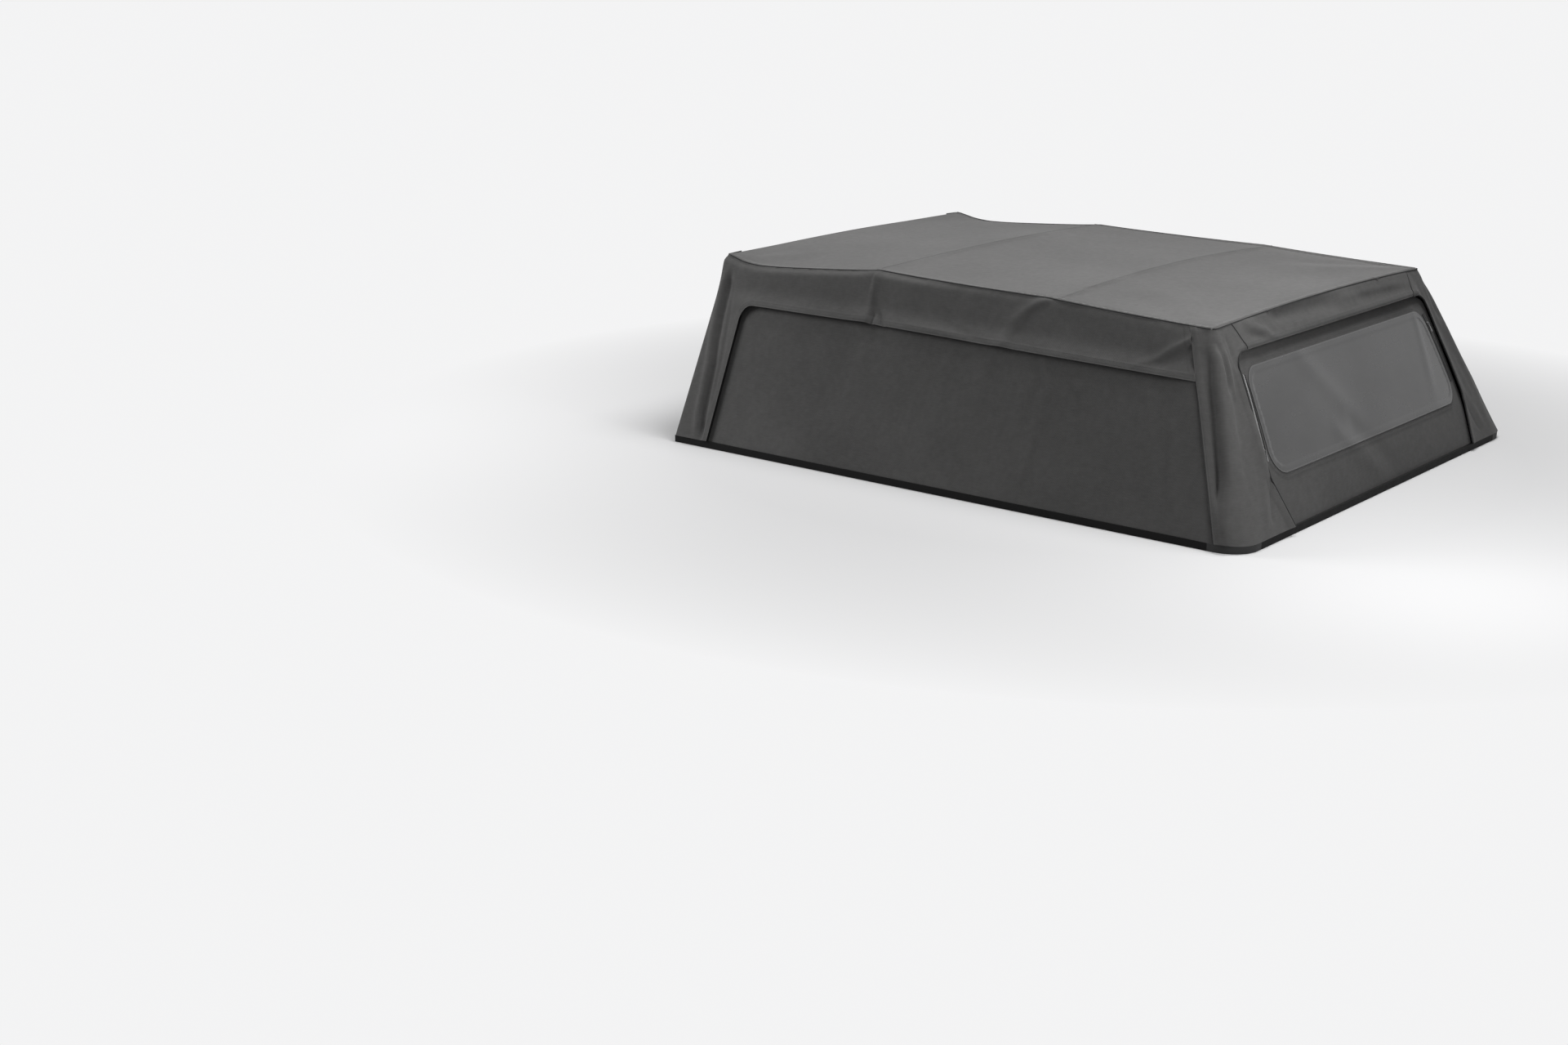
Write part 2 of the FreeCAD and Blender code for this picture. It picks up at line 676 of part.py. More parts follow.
# Checks and files
doc.recompute()
for obj in doc.Objects:
    if "Invalid" in obj.State or "Error" in obj.State:
        raise RuntimeError(f"{obj.Name} ({obj.Label}) failed: {obj.State}")
os.makedirs("parts", exist_ok=True)
for obj in nodes:
    if obj.Shape.isNull() or not obj.Shape.isValid():
        raise RuntimeError(f"{obj.Label} has no valid shape")
    obj.Shape.exportStep(f"parts/{obj.Label}.step")
    print(obj.Label, len(obj.Shape.Solids), round(obj.Shape.Volume))
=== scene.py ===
"""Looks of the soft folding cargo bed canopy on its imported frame, in metres and in the frame's axes.

The walls are one curved skin that runs round the canopy. Each fabric panel is an outline drawn on that
skin or on the roof, meshed finely, pushed in and out by its folds, and given the thickness of cloth.
The side panels are made once for each side, the right-hand ones mirrored and with their own folds.
"""
import math

import bpy
import numpy as np
from mathutils import Matrix, Vector
from mathutils.geometry import delaunay_2d_cdt


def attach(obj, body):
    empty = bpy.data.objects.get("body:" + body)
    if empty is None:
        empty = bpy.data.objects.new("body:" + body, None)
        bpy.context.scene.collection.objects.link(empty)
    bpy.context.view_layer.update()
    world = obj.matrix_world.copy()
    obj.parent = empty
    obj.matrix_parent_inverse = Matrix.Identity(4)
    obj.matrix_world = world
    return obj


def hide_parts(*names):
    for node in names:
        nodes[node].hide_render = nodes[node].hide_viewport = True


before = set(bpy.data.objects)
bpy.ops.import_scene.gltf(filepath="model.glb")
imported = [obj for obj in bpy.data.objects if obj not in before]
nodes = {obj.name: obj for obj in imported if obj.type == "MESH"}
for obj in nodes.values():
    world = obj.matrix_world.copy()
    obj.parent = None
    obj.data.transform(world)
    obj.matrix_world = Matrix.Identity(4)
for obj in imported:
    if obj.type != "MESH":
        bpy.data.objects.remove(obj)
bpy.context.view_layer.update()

# Main sizes, as in the part's source
SKIRT = 0.022
HALF = 0.93
FRONT = 1.01
REAR = -1.01
RISE = 0.62
CROWN = 0.012
STATION_Y = np.array([1.01, 0.398, -0.224, -0.763])
ROOF_HALF = np.array([0.667, 0.658, 0.679, 0.693])
SEAM = np.array([0.551, 0.568, 0.556, 0.532])
WALL_TOP = HALF - (HALF - ROOF_HALF) * RISE / SEAM
REAR_EDGE = 0.247
REAR_RUN = REAR_EDGE * RISE / SEAM[3]
CORNER_LOW = 0.09
CORNER_HIGH = 0.008
CORNER_FRONT = 0.012

ARC = math.pi / 2

# Sizes that only the fabric has
CLOTH = 0.0016
TAPE_THICK = 0.0009
HEM = 0.018
HEM_RISE = 0.0009
SEW_DENT = 0.0005
LAYER = 0.006
DEEPEST = -0.0125
CURTAIN_DEEPEST = DEEPEST + 0.0022
ZIP_GAP = 0.0035
ZIP_HALF = 0.0115
SEAM_GAP = 0.0014
PIPING = 0.0018
BINDING = 0.0026
FILM_RAISED = 0.0024
SIDE_ZIP_BACK = -0.004
PILLAR_ZIP_BACK = -0.0068
REAR_ZIP_RAISED = 0.0016
SPAN_SAG = 0.0045
SIDE_SLOPE = (1, 1.08)
REAR_SLOPE = (1, 1.1)
MIRROR = (-1, 1)


# Small helpers
def lerp(a, b, t):
    return a + (b - a) * t


def along(y, values):
    """Value between the bows' stations at a place along the canopy."""
    return np.interp(y, STATION_Y[::-1], values[::-1])


def unit(vectors):
    return vectors / np.linalg.norm(vectors, axis=-1, keepdims=True)


def looped(line):
    """The line with its first point again at its end."""
    return np.vstack([line, line[:1]])


def bell(distance, width):
    return np.exp(-((distance / width) ** 2))


def ramp(t):
    t = np.clip(t, 0, 1)
    return t * t * (3 - 2 * t)


def waves(a, b, seed, length_a, length_b):
    """Smooth random swells between about -1 and 1, with a wavelength in each direction."""
    rng = np.random.default_rng(seed)
    total = 0
    for _ in range(14):
        turn = rng.uniform(-1, 1)
        stretch = rng.uniform(0.6, 1.5)
        phase = rng.uniform(0, 2 * math.pi)
        total = total + np.sin(2 * math.pi * stretch * (a / length_a + turn * b / length_b) + phase)
    return total / 5


def fold(a, b, start, end, width, height, spread=1.0):
    """A ridge, or a valley where the height is negative, which fades out towards its end."""
    start, end = np.array(start), np.array(end)
    run = end - start
    length = np.hypot(*run)
    t = ((a - start[0]) * run[0] + (b - start[1]) * run[1]) / length**2
    off = ((a - start[0]) * run[1] - (b - start[1]) * run[0]) / length
    wide = width * lerp(1.0, spread, np.clip(t, 0, 1))
    fade = ramp((t + 0.12) / 0.24) * ramp((1.25 - t) / 0.5)
    return height * fade * bell(off, wide)


def upright(p, z, line, width, height, soft=0.03, behind=None):
    """A nearly upright fold through points from the lowest up; its two slopes may differ in width."""
    line_p, line_z = np.array(line).T
    off = p - np.interp(z, line_z, line_p)
    fade = ramp((z - line_z[0]) / soft + 0.5) * ramp((line_z[-1] - z) / soft + 0.5)
    return height * fade * bell(off, np.where(off < 0, width, behind or width))


def summed(kind, a, b, shapes):
    """The folds of one kind added up."""
    return sum(kind(a, b, *shape) for shape in shapes)


# The seam between roof and side as the photo shows it: height by place along the canopy
SEAM_Y = np.array([-0.763, -0.72, -0.565, -0.404, -0.224, 0.023, 0.25, 0.398, 0.483, 0.576, 0.671, 0.768,
                   0.817, 0.867, 0.901, 0.937, 0.976, 1.01])
SEAM_Z = np.array([0.554, 0.5555, 0.562, 0.569, 0.578, 0.5815, 0.586, 0.59, 0.5825, 0.5755, 0.569, 0.5625,
                   0.56, 0.5585, 0.56, 0.564, 0.5735, 0.581])


def seam_z(y):
    return np.interp(y, SEAM_Y, SEAM_Z)


# Surfaces: each gives points for two parameters
def corner_wrap(z):
    """The rounded rear corner at a height: its centre across and along, and its radius."""
    h = (z - SKIRT) / RISE
    return (lerp(HALF - CORNER_LOW, WALL_TOP[3] - CORNER_HIGH, h),
            lerp(REAR + CORNER_LOW, REAR + REAR_RUN + CORNER_HIGH, h), lerp(CORNER_LOW, CORNER_HIGH, h))


def wall(p, z):
    """Left-hand walls: p runs from the front corner back along the side, round and across the rear."""
    h = (z - SKIRT) / RISE
    centre_x, centre_y, radius = corner_wrap(z)
    y = FRONT - p
    t = np.clip((STATION_Y[2] - y) / (STATION_Y[2] - centre_y), 0, 1)
    top = np.where(y > STATION_Y[2], along(y, WALL_TOP), lerp(WALL_TOP[2], WALL_TOP[3], t))
    side_x = -lerp(HALF, top, h)
    past = p - (FRONT - centre_y)
    turn = np.clip(past / radius, 0, ARC)
    across = np.maximum(past - radius * ARC, 0)
    x = np.where(past > 0, -(centre_x + radius * np.cos(turn)) + across, side_x)
    y = np.where(past > 0, centre_y - radius * np.sin(turn), y)
    front_turn = np.clip((p + CORNER_FRONT) / (2 * CORNER_FRONT), 0, 1) * ARC
    at_front = p < CORNER_FRONT
    front_x = side_x + CORNER_FRONT * (1 - np.sin(front_turn)) + np.maximum(-p - CORNER_FRONT, 0)
    x = np.where(at_front, front_x, x)
    y = np.where(at_front, FRONT - CORNER_FRONT * (1 - np.cos(front_turn)), y)
    return np.stack([x, y, z], axis=-1)


def rear_wall(x, z):
    return np.stack([x, REAR + REAR_RUN * (z - SKIRT) / RISE, z], axis=-1)


def front_wall(x, z):
    return np.stack([-x, np.full_like(x, FRONT), z], axis=-1)


def hang(y):
    """0 at each bow and 1 half way between two."""
    value = 0
    for ahead, behind in zip(STATION_Y[:-1], STATION_Y[1:]):
        t = np.clip((y - behind) / (ahead - behind), 0, 1)
        value = value + 4 * t * (1 - t)
    return value


def roof(x, y):
    """The roof sheet: crowned across, hung a little between the bows, and drawn to the side seams."""
    half = along(y, ROOF_HALF)
    share = np.clip(np.abs(x) / half, 0, 1)
    straight = SKIRT + along(y, SEAM)
    edge_drop = (seam_z(y) - straight) * share**4
    ridge = sum(0.0012 * bell(y - bow_y, 0.025) for bow_y in STATION_Y[1:3])
    bows = (ridge - SPAN_SAG * hang(y)) * (1 - 0.7 * share**4)
    z = straight + CROWN * (1 - share**2) + bows + edge_drop
    return np.stack([x, y, z], axis=-1)


def normals(surface, a, b):
    step = 0.0008
    da = surface(a + step, b) - surface(a - step, b)
    db = surface(a, b + step) - surface(a, b - step)
    return unit(np.cross(da, db))


# Outlines
def resample(points, step, closed=False):
    """Points at even steps along a line, which keeps its sharp corners."""
    points = np.asarray(points, float)
    if closed:
        points = looped(points)
    kept = [points[:1]]
    for start, end in zip(points[:-1], points[1:]):
        count = max(1, int(round(np.hypot(*(end - start)) / step)))
        kept.append(start + (end - start) * np.linspace(0, 1, count + 1)[1:, None])
    line = np.vstack(kept)
    return line[:-1] if closed else line


def rounded(corners, step=0.004):
    """A line through corners (a, b, radius) with tangent arcs."""
    corners = [tuple(c) + (0,) * (3 - len(c)) for c in corners]
    spots = [np.array(c[:2], float) for c in corners]
    line = [spots[0]]
    for i in range(1, len(corners) - 1):
        radius = corners[i][2]
        if not radius:
            line.append(spots[i])
            continue
        back, ahead = unit(spots[i - 1] - spots[i]), unit(spots[i + 1] - spots[i])
        half = math.acos(np.clip(back @ ahead, -1, 1)) / 2
        centre = spots[i] + unit(back + ahead) * radius / math.sin(half)
        first = spots[i] + back * radius / math.tan(half) - centre
        last = spots[i] + ahead * radius / math.tan(half) - centre
        count = max(4, int(radius * (math.pi - 2 * half) / step))
        for t in np.linspace(0, 1, count + 1):
            line.append(centre + unit(lerp(first, last, t)) * radius)
    line.append(spots[-1])
    return np.array(line)


def distance_to(points, line):
    """Distance from each point to an open line."""
    best = np.full(len(points), 1e9)
    for start, end in zip(line[:-1], line[1:]):
        run = end - start
        size = run @ run
        if size < 1e-12:
            continue
        t = np.clip(((points - start) @ run) / size, 0, 1)
        gap = points - start - t[:, None] * run
        best = np.minimum(best, (gap**2).sum(1))
    return np.sqrt(best)


def nearest(points, lines):
    return np.min([distance_to(points, line) for line in lines], axis=0)


def inside(points, outline):
    x, y = points.T
    hit = np.zeros(len(points), bool)
    for (x0, y0), (x1, y1) in zip(outline, np.roll(outline, -1, 0)):
        if y0 != y1:
            hit ^= ((y0 > y) != (y1 > y)) & (x < (x1 - x0) * (y - y0) / (y1 - y0) + x0)
    return hit


def placed(name, mesh, finish):
    """An object of the mesh in its finish."""
    mesh.materials.append(finish)
    body = bpy.data.objects.new(name, mesh)
    bpy.context.scene.collection.objects.link(body)
    return body


class Panel:
    """A fabric panel: an outline on a surface, with folds, hems and the thickness of cloth."""

    def __init__(self, surface, outline, lift, hems=(), hole=None, spacing=0.009, stretch=(1, 1),
                 fine=None):
        self.surface, self.lift, self.hems = surface, lift, [np.asarray(h) for h in hems]
        self.outline = resample(outline, spacing * 0.6, closed=True)
        self.hole = None if hole is None else resample(hole, spacing * 0.6, closed=True)
        self.spacing, self.stretch, self.fine = spacing, stretch, fine

    def covers(self, spots):
        """Which points lie inside the outline and outside the hole."""
        kept = inside(spots, self.outline)
        return kept if self.hole is None else kept & ~inside(spots, self.hole)

    def hem_distance(self, spots):
        return nearest(spots, self.hems) if self.hems else np.full(len(spots), 1.0)

    def place(self, spots, raise_by=0.0):
        """Points and normals on the finished outer face."""
        a, b = spots.T
        n = normals(self.surface, a, b)
        edge = self.hem_distance(spots)
        hem = HEM_RISE * ramp((HEM - edge) / 0.002 + 0.5) - SEW_DENT * bell(edge - 0.004, 0.0013)
        out = self.lift(a, b, edge) + hem + raise_by
        return self.surface(a, b) + n * out[:, None], n

    def grid(self, low, high, step):
        """Points at the corners of even triangles."""
        rows = np.arange(low[1], high[1], step * 0.866)
        columns = np.arange(low[0], high[0] + step, step)
        a, b = np.meshgrid(columns, rows)
        a = a + (np.arange(len(rows)) % 2)[:, None] * step / 2
        return np.stack([a.ravel(), b.ravel()], axis=1)

    def spots(self):
        """The panel's flat points: its edge, loops beside it and an even inner grid."""
        loops = [self.outline] + ([] if self.hole is None else [self.hole])
        edges = []
        start = 0
        for loop in loops:
            count = len(loop)
            edges += [(start + i, start + (i + 1) % count) for i in range(count)]
            start += count
        rim = np.vstack(loops)
        closed = [looped(loop) for loop in loops]
        grid = self.grid(rim.min(0), rim.max(0), self.spacing)
        if self.fine is not None:
            close = self.grid(rim.min(0), rim.max(0), self.spacing * 0.55)
            grid = np.vstack([grid[~self.fine(*grid.T)], close[self.fine(*close.T)]])
        grid = grid[self.covers(grid)]
        grid = grid[nearest(grid, closed) > self.spacing * 0.55]
        extra = []
        for hem in self.hems:
            line = resample(hem, self.spacing * 0.6)
            run = np.gradient(line, axis=0)
            across = np.stack([-run[:, 1], run[:, 0]], axis=1)
            across /= np.linalg.norm(across, axis=1, keepdims=True) + 1e-12
            for depth in (0.0025, 0.006, HEM - 0.001, HEM + 0.001):
                for turn in (-1, 1):
                    extra.append(line + across * depth * turn)
        if extra:
            extra = np.vstack(extra)
            extra = extra[self.covers(extra)]
            extra = extra[nearest(extra, closed) > 0.0018]
            hem_gap = self.hem_distance(grid)
            grid = grid[(hem_gap > 0.008) & (np.abs(hem_gap - HEM) > 0.003)]
            grid = np.vstack([grid, extra])
        return np.vstack([rim, grid]), edges

    def build(self, name, finish, mirror=False, thickness=CLOTH):
        """The mesh object: both faces of the cloth and the rim between them."""
        flat, edges = self.spots()
        scale = np.array(self.stretch)
        result = delaunay_2d_cdt([Vector(p) for p in flat * scale], edges, [], 1, 1e-7)
        flat = np.array([tuple(p) for p in result[0]]) / scale
        triangles = np.array([f for f in result[2] if len(f) == 3])
        triangles = triangles[self.covers(flat[triangles].mean(1))]
        first, second, third = flat[triangles].transpose(1, 0, 2)
        turned = np.cross(second - first, third - first)
        triangles[turned < 0] = triangles[turned < 0][:, ::-1]
        outer, n = self.place(flat)
        inner = outer - n * thickness
        if mirror:
            outer, inner = outer * (-1, 1, 1), inner * (-1, 1, 1)
        count = len(flat)
        sides = np.vstack([triangles[:, [0, 1]], triangles[:, [1, 2]], triangles[:, [2, 0]]])
        keys = np.sort(sides, axis=1)
        _, first, uses = np.unique(keys, axis=0, return_index=True, return_counts=True)
        rim = sides[first[uses == 1]]
        quads = np.stack([rim[:, 1], rim[:, 0], rim[:, 0] + count, rim[:, 1] + count], axis=1)
        faces = triangles.tolist() + (triangles[:, ::-1] + count).tolist() + quads.tolist()
        if mirror:
            faces = [f[::-1] for f in faces]
        mesh = bpy.data.meshes.new(name)
        mesh.from_pydata(np.vstack([outer, inner]).tolist(), [], faces)
        mesh.shade_smooth()
        corner = np.empty(len(mesh.loops), int)
        mesh.loops.foreach_get("vertex_index", corner)
        both = np.vstack([flat * scale, flat * scale])
        mesh.uv_layers.new(name="Cloth").data.foreach_set("uv", both[corner].ravel())
        edge = np.tile(self.hem_distance(flat), 2)
        mesh.attributes.new("hem", "FLOAT", "POINT").data.foreach_set("value", edge.astype(np.float32))
        ends = np.empty(len(mesh.edges) * 2, int)
        mesh.edges.foreach_get("vertices", ends)
        ends = np.sort(ends.reshape(-1, 2), axis=1)
        rim_keys = set(map(tuple, np.sort(rim, axis=1)))
        sharp = [tuple(e) in rim_keys or tuple(e - count) in rim_keys for e in ends]
        mesh.attributes.new("sharp_edge", "BOOLEAN", "EDGE").data.foreach_set("value", sharp)
        first, second, third = outer[triangles].transpose(1, 0, 2)
        self.area = float(np.linalg.norm(np.cross(second - first, third - first), axis=1).sum() / 2)
        return placed(name, mesh, finish)


def cloth(panel, name, finish, replaced=(), mirror=False, thickness=CLOTH):
    """Makes a fabric piece, attaches it to the root and hides the parts that it replaces."""
    body = panel.build(name, finish, mirror, thickness)
    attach(body, "root")
    if replaced:
        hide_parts(*replaced)


def mesh_piece(name, points, faces, finish, mirror=False):
    """A rigid or sewn-on piece from arrays of points and faces."""
    points = np.asarray(points)
    if mirror:
        points = points * (-1, 1, 1)
        faces = [tuple(face)[::-1] for face in faces]
    mesh = bpy.data.meshes.new(name)
    mesh.from_pydata(points.tolist(), [], [tuple(map(int, face)) for face in faces])
    body = placed(name, mesh, finish)
    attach(body, "root")
    return body


def shifted(line, distance):
    """The line moved sideways in the flat, to its left where the distance is positive."""
    line = np.asarray(line, float)
    run = unit(np.gradient(line, axis=0))
    return line + np.stack([-run[:, 1], run[:, 0]], axis=1) * distance


def trail(panel, line, pitch, raise_by=0.0):
    """Evenly spaced places along a line on a panel: points, and unit vectors along, across and outward."""
    spots, n = panel.place(resample(line, 0.004), raise_by)
    steps = np.linalg.norm(np.diff(spots, axis=0), axis=1)
    length = np.concatenate([[0], np.cumsum(steps)])
    at = np.arange(pitch / 2, length[-1], pitch)

    def between(values):
        return np.stack([np.interp(at, length, values[:, i]) for i in range(3)], axis=1)

    run = unit(between(np.gradient(spots, axis=0)))
    outward = unit(between(n))
    across = unit(np.cross(outward, run))
    return between(spots), run, across, outward


def scatter(trails, shape, faces):
    """Copies of one small shape, given along, across and outward, at every place of the trails."""
    points, made = [], []
    count = 0
    for spots, run, across, outward in trails:
        copies = (spots[:, None] + run[:, None] * shape[None, :, :1] + across[:, None] * shape[None, :, 1:2]
                  + outward[:, None] * shape[None, :, 2:])
        starts = count + np.arange(len(spots)) * len(shape)
        made += (starts[:, None, None] + np.asarray(faces)[None]).reshape(-1, len(faces[0])).tolist()
        points.append(copies.reshape(-1, 3))
        count += len(spots) * len(shape)
    return np.vstack(points), made


STITCH_PITCH = 0.0046
STITCH = np.array([(-0.0017, 0, 0), (0, -0.00045, 0.0001), (0, 0, 0.00055), (0, 0.00045, 0.0001),
                   (0.0017, 0, 0), (0, 0, -0.0003)])
STITCH_FACES = [(0, 1, 2), (0, 2, 3), (4, 2, 1), (4, 3, 2), (0, 5, 1), (0, 3, 5), (4, 1, 5), (4, 5, 3)]
TOOTH_PITCH = 0.003
TOOTH = np.array([(a * 0.0009, b * 0.0021, h) for a in (-1, 1) for b in (-1, 1) for h in (-0.0002, 0.0014)])
TOOTH_FACES = [(0, 1, 3, 2), (4, 6, 7, 5), (0, 4, 5, 1), (2, 3, 7, 6), (1, 5, 7, 3), (0, 2, 6, 4)]


def stitching(name, rows, mirror=False):
    """Topstitching along rows, each given as a panel, a line on it and how far to move the line."""
    trails = [trail(panel, shifted(line, move), STITCH_PITCH, 0.0002) for panel, line, move in rows]
    points, faces = scatter(trails, STITCH, STITCH_FACES)
    return mesh_piece(name, points, faces, THREAD, mirror)


def zipper(name, surface, line, lift, teeth, mirror=False, replaced=()):
    """A zip: its woven tape as a narrow sheet, and two rows of teeth that mesh on its middle line."""
    ring = np.vstack([shifted(line, -ZIP_HALF), shifted(line, ZIP_HALF)[::-1]])
    tape = Panel(surface, ring, lift, spacing=0.006)
    length = float(np.linalg.norm(np.diff(surface(*line.T), axis=0), axis=1).sum())
    cloth(tape, name + "_tape", TAPE,
          replaced, mirror, TAPE_THICK)
    halves = [trail(tape, shifted(line, side * 0.0012), TOOTH_PITCH) for side in (-1, 1)]
    spots, run, across, outward = halves[1]
    halves[1] = (spots + run * TOOTH_PITCH / 2, run, across, outward)
    points, faces = scatter(halves, TOOTH, TOOTH_FACES)
    mesh_piece(name + "_teeth", points, faces, teeth, mirror)
    return tape


def slider(name, panel, line, at, mirror=False):
    """A zip slider: wedge-shaped body, bridge and a hanging pull tab."""
    spots, run, across, outward = (values[at] for values in trail(panel, line, TOOTH_PITCH))
    outlines = [
        ([(-0.0062, 0.003), (-0.0062, -0.003), (0.005, -0.0052), (0.0066, -0.0022), (0.0066, 0.0022),
          (0.005, 0.0052)], 0.0012, 0.0044),
        ([(-0.0046, 0.0011), (-0.0046, -0.0011), (0.0046, -0.0011), (0.0046, 0.0011)], 0.0044, 0.007),
        ([(-0.004, 0.0018), (-0.025, 0.0036), (-0.0285, 0.0026), (-0.0285, -0.0026), (-0.025, -0.0036),
          (-0.004, -0.0018)], 0.005, 0.0062),
    ]
    points, faces = [], []
    rim = 0.0005
    for outline, low, high in outlines:
        first = len(points)
        count = len(outline)
        for height, inset in ((low, 0), (high - rim, 0), (high, rim)):
            for a, b in outline:
                grip = 1 - inset / max(abs(a), abs(b), 0.001)
                points.append(spots + run * a * grip + across * b * grip + outward * height)
        faces.append(tuple(first + i for i in reversed(range(count))))
        faces.append(tuple(first + 2 * count + i for i in range(count)))
        for base in (first, first + count):
            for i in range(count):
                j = (i + 1) % count
                faces.append((base + i, base + j, base + count + j, base + count + i))
    return mesh_piece(name, points, faces, PULL, mirror)


def cord_of_cloth(name, path, radius, finish, mirror=False, sides=8):
    """Piping: a round welt along a path of points."""
    path = np.asarray(path, float)
    run = unit(np.gradient(path, axis=0))
    level = unit(np.cross(run, (0, 0, 1)))
    above = np.cross(level, run)
    points = []
    for i in range(sides):
        turn = 2 * math.pi * i / sides
        points.append(path + radius * (math.cos(turn) * level + math.sin(turn) * above))
    points = np.stack(points, axis=1).reshape(-1, 3)
    faces = []
    for base in range(0, len(points) - sides, sides):
        for i in range(sides):
            j = (i + 1) % sides
            faces.append((base + i, base + sides + i, base + sides + j, base + j))
    faces.append(tuple(range(sides)))
    faces.append(tuple(reversed(range(len(points) - sides, len(points)))))
    body = mesh_piece(name, points, faces, finish, mirror)
    body.data.shade_smooth()
    return body


# Materials
def material(name, **shader_values):
    """A principled material whose constant values are set on the shader itself."""
    made = bpy.data.materials.new(name)
    made.use_nodes = True
    tree = made.node_tree
    shader = tree.nodes["Principled BSDF"]
    for key, value in shader_values.items():
        shader.inputs[key.replace("_", " ")].default_value = value
    return made, tree, shader


def link(tree, output, target):
    tree.links.new(output, target)


def node(tree, kind, inputs=(), **settings):
    """Adds a node, sets its values, and links those inputs that are given an output."""
    made = tree.nodes.new(kind)
    for key, value in settings.items():
        setattr(made, key, value)
    for key, value in dict(inputs).items():
        if isinstance(value, bpy.types.NodeSocket):
            link(tree, value, made.inputs[key])
        else:
            made.inputs[key].default_value = value
    return made


def grey(value, warm=0.0):
    return (value * (1 + warm), value, value * (1 - warm), 1)


def mottle(tree, scale, detail=3.0, rough=0.55, stretch=None):
    """Noise in the row's own axes, in cycles a metre."""
    where = node(tree, "ShaderNodeTexCoord").outputs["Object"]
    if stretch:
        where = node(tree, "ShaderNodeMapping", {"Vector": where, "Scale": stretch}).outputs["Vector"]
    return node(tree, "ShaderNodeTexNoise", {"Vector": where, "Scale": scale, "Detail": detail,
                                             "Roughness": rough}).outputs["Fac"]


def spread(tree, value, low, high, to_low=0.0, to_high=1.0):
    return node(tree, "ShaderNodeMapRange", {"Value": value, "From Min": low, "From Max": high,
                                             "To Min": to_low, "To Max": to_high}).outputs["Result"]


def mix(tree, share, a, b):
    return node(tree, "ShaderNodeMix", {0: share, 6: a, 7: b}, data_type="RGBA").outputs[2]


def maths(tree, operation, a, b):
    return node(tree, "ShaderNodeMath", {0: a, 1: b}, operation=operation).outputs["Value"]


def bump(tree, height, strength, distance, **more):
    return node(tree, "ShaderNodeBump", {"Height": height, "Strength": strength, "Distance": distance,
                                         **more}).outputs["Normal"]


def dress(tree, shader, colour, roughness, normal):
    for key, output in (("Base Color", colour), ("Roughness", roughness), ("Normal", normal)):
        link(tree, output, shader.inputs[key])


def twill(name, tone, warm=0.0, sheen=0.06, roughness=0.85):
    """Coated canvas: a diagonal weave, slubs, soft mottling with fine darker specks, and paler rubbed hems.
    """
    made, tree, shader = material(name, Sheen_Weight=sheen, Sheen_Roughness=0.5, Specular_IOR_Level=0.1)
    cloth_uv = node(tree, "ShaderNodeUVMap", uv_map="Cloth").outputs["UV"]
    weave = node(tree, "ShaderNodeTexWave", {"Vector": cloth_uv, "Scale": 118.0, "Distortion": 1.2,
                                             "Detail": 2.0, "Detail Scale": 1.4}, bands_direction="DIAGONAL")
    threads = node(tree, "ShaderNodeMapping", {"Vector": cloth_uv, "Scale": (34.0, 420.0, 1.0)})
    slub = node(tree, "ShaderNodeTexNoise", {"Vector": threads.outputs["Vector"], "Scale": 1.0,
                                             "Detail": 3.0}).outputs["Fac"]
    broad = mottle(tree, 2.6, 4.0)
    fine = mottle(tree, 46.0, 4.0, 0.65)
    dark, light = grey(tone * 0.86, warm), grey(tone * 1.14, warm)
    colour = mix(tree, spread(tree, broad, 0.3, 0.7), dark, light)
    colour = mix(tree, spread(tree, slub, 0.3, 0.75, 0.0, 0.32), colour, grey(tone * 1.5, warm))
    colour = mix(tree, spread(tree, fine, 0.35, 0.75, 0.0, 0.22), colour, grey(tone * 0.6, warm))
    hem = node(tree, "ShaderNodeAttribute", attribute_name="hem").outputs["Fac"]
    rubbed = spread(tree, hem, 0.0, 0.004, 0.35, 0.0)
    colour = mix(tree, rubbed, colour, grey(tone * 1.9, warm))
    rough = spread(tree, fine, 0.3, 0.7, roughness - 0.07, roughness + 0.08)
    grain = bump(tree, weave.outputs["Fac"], 0.35, 0.0003)
    dress(tree, shader, colour, rough, bump(tree, fine, 0.3, 0.0012, Normal=grain))
    return made


def film(name, tone):
    """Tinted flexible window: smooth, with a slow ripple, a faint haze and a painted highlight along its
    edge.
    """
    made, tree, shader = material(name, Coat_Weight=0.05, Coat_Roughness=0.15, IOR=1.45,
                                  Specular_IOR_Level=0.28)
    haze = mottle(tree, 3.0, 5.0, 0.6, (1.0, 0.4, 2.0))
    colour = mix(tree, spread(tree, haze, 0.3, 0.7), grey(tone * 0.9), grey(tone * 1.12))
    # Painted highlight: a paler line along the film's edge stands in for light caught on its glossy edge
    hem = node(tree, "ShaderNodeAttribute", attribute_name="hem").outputs["Fac"]
    colour = mix(tree, spread(tree, hem, 0.003, 0.0042, 0.3, 0.0), colour, grey(tone * 2.2))
    ripple = bump(tree, mottle(tree, 5.0, 1.0), 0.5, 0.003)
    dress(tree, shader, colour, spread(tree, haze, 0.3, 0.75, 0.2, 0.34), ripple)
    return made


def coat(name, tone, roughness, grain=900.0, metal=0.0, gloss=0.5):
    """Powder coat or moulded plastic: a fine orange peel and paler patches where it is rubbed a little or
    dusty.
    """
    made, tree, shader = material(name, Metallic=metal, Specular_IOR_Level=gloss)
    speck = mottle(tree, grain, 2.0)
    worn = mottle(tree, 14.0, 6.0, 0.7)
    colour = mix(tree, spread(tree, worn, 0.45, 0.8, 0.0, 0.5), grey(tone), grey(tone * 2.1))
    rough = spread(tree, worn, 0.3, 0.7, roughness - 0.08, roughness + 0.1)
    dress(tree, shader, colour, rough, bump(tree, speck, 0.25, 0.0004))
    return made
